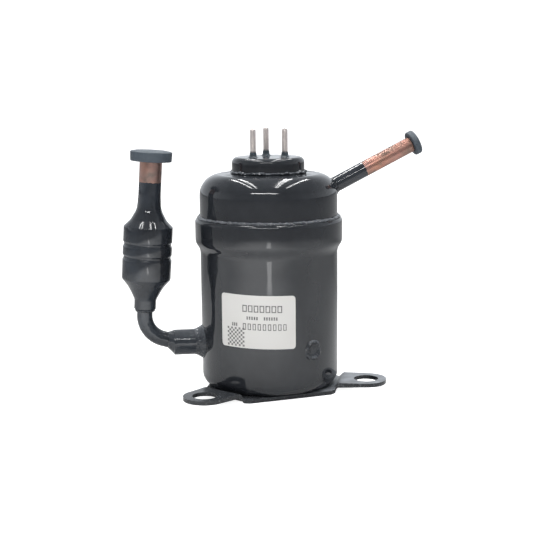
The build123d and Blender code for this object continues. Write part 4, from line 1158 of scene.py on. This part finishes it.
# ==== stage ========================================================================================
class COMPRESSOR_OT_stage(bpy.types.Operator):
    """Floor, studio light and camera"""

    bl_idname = "compressor.stage"
    bl_label = "Stage"

    def execute(self, context):
        scene = bpy.context.scene
        scene.view_settings.view_transform = "Standard"
        self.floor()
        self.world()
        for strip in (
            # name, side, ahead, up, width, length, radiance, aim
            ("ceiling_tube_left", -390, 450, 1500, 20, 2100, TUBES, "down"),
            ("ceiling_tube_far_left", -560, 450, 1500, 20, 2100, TUBES, "down"),
            ("ceiling_tube_right", 230, 450, 1500, 16, 2100, TUBES, "down"),
            ("ceiling_tube_mid_right", 300, 450, 1500, 14, 2100, TUBES, "down"),
            ("ceiling_tube_far_right", 640, 450, 1500, 20, 2100, TUBES, "down"),
            ("front_bar", -170, -1300, 1010, 1150, 28, BAR, "object"),
            ("floor_strip", 0, -300, 3, 32, 140, FLOOR_STRIP, "up"),
        ):
            self.strip(*strip)
        self.camera()
        return {"FINISHED"}

    def place(self, side, ahead, up):
        """A point given across, along and above the way the camera looks, in millimetres, as metres."""
        return (polar(side, VIEW_AZIMUTH - 90) + polar(ahead, VIEW_AZIMUTH) + Vector((0, 0, up))) * MM

    def floor(self):
        bm = bmesh.new()
        bmesh.ops.create_grid(bm, x_segments=40, y_segments=40, size=4.0)
        mesh = bpy.data.meshes.new("studio_floor")
        bm.to_mesh(mesh)
        bm.free()
        made = bpy.data.objects.new("studio_floor", mesh)
        bpy.context.scene.collection.objects.link(made)
        # matt white board that glows: evenly white where it is looked at, and for other rays a painted pool of
        # light that glows in front of the object
        material, tree, principled, place = start_material("Matt white board, painted glow and shade", Specular_IOR_Level=0.1)
        pool = add(tree, "VectorMath", (place, tuple(self.place(-60, -240, 0))), "Value", operation="DISTANCE")
        glow = add(
            tree,
            "MapRange",
            {"Value": pool, "From Min": 0.06, "From Max": 0.26, "To Min": PAINTED_POOL, "To Max": 0.0},
            interpolation_type="SMOOTHSTEP",
        )
        seen = add(tree, "LightPath", out="Is Camera Ray")
        board_glow = add(tree, "Mix", {"Factor": seen, "A": glow, "B": 0.92})
        # the board's colour is painted greyer behind the object and further out: painted shade that the shiny
        # shell reflects
        ahead = add(
            tree, "VectorMath", (place, tuple(polar(1, VIEW_AZIMUTH))), "Value", operation="DOT_PRODUCT"
        )
        behind = add(tree, "MapRange", {"Value": ahead, "From Min": -0.06, "From Max": 0.2})
        reach = add(tree, "VectorMath", (place,), "Value", operation="LENGTH")
        beyond = add(tree, "MapRange", {"Value": reach, "From Min": 0.34, "From Max": 0.44})
        board = add(tree, "Mix", (behind, "#f3f3f2", "#8e8e8e"), data_type="RGBA")
        principled.inputs["Emission Color"].default_value = (1, 1, 1, 1)
        tree.links.new(board_glow, principled.inputs["Emission Strength"])
        colour = add(tree, "Mix", (beyond, board, "#a6a6a6"), data_type="RGBA")
        finish_with(tree, principled, colour, mottle(tree, place, 60.0, 0.85, 0.95))
        mesh.materials.append(material)

    def world(self):
        """A bright room: white behind the object and at its sides, dimmer behind the camera and overhead."""
        world = bpy.data.worlds.new("Studio room")
        bpy.context.scene.world = world
        world.use_nodes = True
        tree = world.node_tree
        background = tree.nodes["Background"]
        ray = add(tree, "TexCoord", out="Generated")
        facing = (ray, tuple(polar(1, VIEW_AZIMUTH)))
        ahead = add(tree, "VectorMath", facing, "Value", operation="DOT_PRODUCT")
        room = add(
            tree,
            "MapRange",
            {"Value": ahead, "From Min": -0.9, "From Max": 0.35, "To Min": FRONT_ROOM, "To Max": BACK_ROOM},
            interpolation_type="SMOOTHSTEP",
        )
        height = add(tree, "SeparateXYZ", (ray,), out="Z")
        overhead = add(
            tree,
            "MapRange",
            {"Value": height, "From Min": 0.1, "From Max": 0.8},
            interpolation_type="SMOOTHSTEP",
        )
        light = add(tree, "Mix", {"Factor": overhead, "A": room, "B": CEILING})
        seen = add(tree, "LightPath", out="Is Camera Ray")
        strength = add(tree, "Mix", {"Factor": seen, "A": light, "B": 1.25})
        tree.links.new(strength, background.inputs["Strength"])
        background.inputs["Color"].default_value = (*linear("#f4f9ff"), 1.0)

    def strip(self, name, side, ahead, up, width, length, radiance, aim):
        """A flat lamp of an even radiance."""
        lamp = bpy.data.lights.new(name, "AREA")
        lamp.shape = "RECTANGLE"
        lamp.size, lamp.size_y = width * MM, length * MM
        lamp.energy = radiance * pi * lamp.size * lamp.size_y
        made = bpy.data.objects.new(name, lamp)
        made.visible_camera = False
        made.location = self.place(side, ahead, up)
        turn = radians(VIEW_AZIMUTH - 90)
        if aim == "object":
            made.rotation_euler = (self.place(0, 0, 80) - made.location).to_track_quat("-Z", "Y").to_euler()
        else:
            made.rotation_euler = (pi if aim == "up" else 0, 0, turn)
        bpy.context.scene.collection.objects.link(made)

    def camera(self):
        lens = bpy.data.cameras.new("view")
        lens.lens, lens.sensor_width = LENS, SENSOR
        lens.clip_start, lens.clip_end = 0.01, 50
        made = bpy.data.objects.new("view", lens)
        bpy.context.scene.collection.objects.link(made)
        heading, pitch, roll = radians(VIEW_AZIMUTH - VIEW_YAW), radians(VIEW_PITCH), radians(VIEW_ROLL)
        ahead = Vector((cos(heading) * cos(pitch), sin(heading) * cos(pitch), -sin(pitch)))
        right = Vector((sin(heading), -cos(heading), 0))
        up = right.cross(ahead)
        turned_right = right * cos(roll) + up * sin(roll)
        turned_up = up * cos(roll) - right * sin(roll)
        axes = Matrix((turned_right, turned_up, -ahead)).transposed().to_4x4()
        made.matrix_world = Matrix.Translation(self.place(0, -VIEW_DISTANCE, VIEW_HEIGHT)) @ axes
        bpy.context.scene.camera = made


OPERATORS = (
    COMPRESSOR_OT_base,
    COMPRESSOR_OT_shell,
    COMPRESSOR_OT_welds,
    COMPRESSOR_OT_terminal,
    COMPRESSOR_OT_discharge,
    COMPRESSOR_OT_accumulator,
    COMPRESSOR_OT_suction,
    COMPRESSOR_OT_label,
    COMPRESSOR_OT_inside,
    COMPRESSOR_OT_stage,
)


class COMPRESSOR_PT_panel(bpy.types.Panel):
    """Lists the compressor's operators and settings"""

    bl_label = "Compressor"
    bl_idname = "COMPRESSOR_PT_panel"
    bl_space_type = "VIEW_3D"
    bl_region_type = "UI"
    bl_category = "Compressor"

    def draw(self, context):
        for group in (context.scene.compressor_sizes, context.scene.compressor_colours):
            for key in group.__annotations__:
                self.layout.prop(group, key)
        for operator in OPERATORS:
            self.layout.operator(operator.bl_idname)


def register():
    for made in (CompressorSizes, CompressorColours, *OPERATORS, COMPRESSOR_PT_panel):
        bpy.utils.register_class(made)
    bpy.types.Scene.compressor_sizes = PointerProperty(type=CompressorSizes)
    bpy.types.Scene.compressor_colours = PointerProperty(type=CompressorColours)


def unregister():
    del bpy.types.Scene.compressor_sizes
    del bpy.types.Scene.compressor_colours
    for made in reversed((CompressorSizes, CompressorColours, *OPERATORS, COMPRESSOR_PT_panel)):
        bpy.utils.unregister_class(made)


def main():
    """Registers the classes and builds every piece in order."""
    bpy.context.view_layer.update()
    register()
    build = bpy.ops.compressor
    for step in (
        build.base,
        build.shell,
        build.welds,
        build.terminal,
        build.discharge,
        build.accumulator,
        build.suction,
        build.label,
        build.inside,
        build.stage,
    ):
        step()


if __name__ == "__main__":
    main()
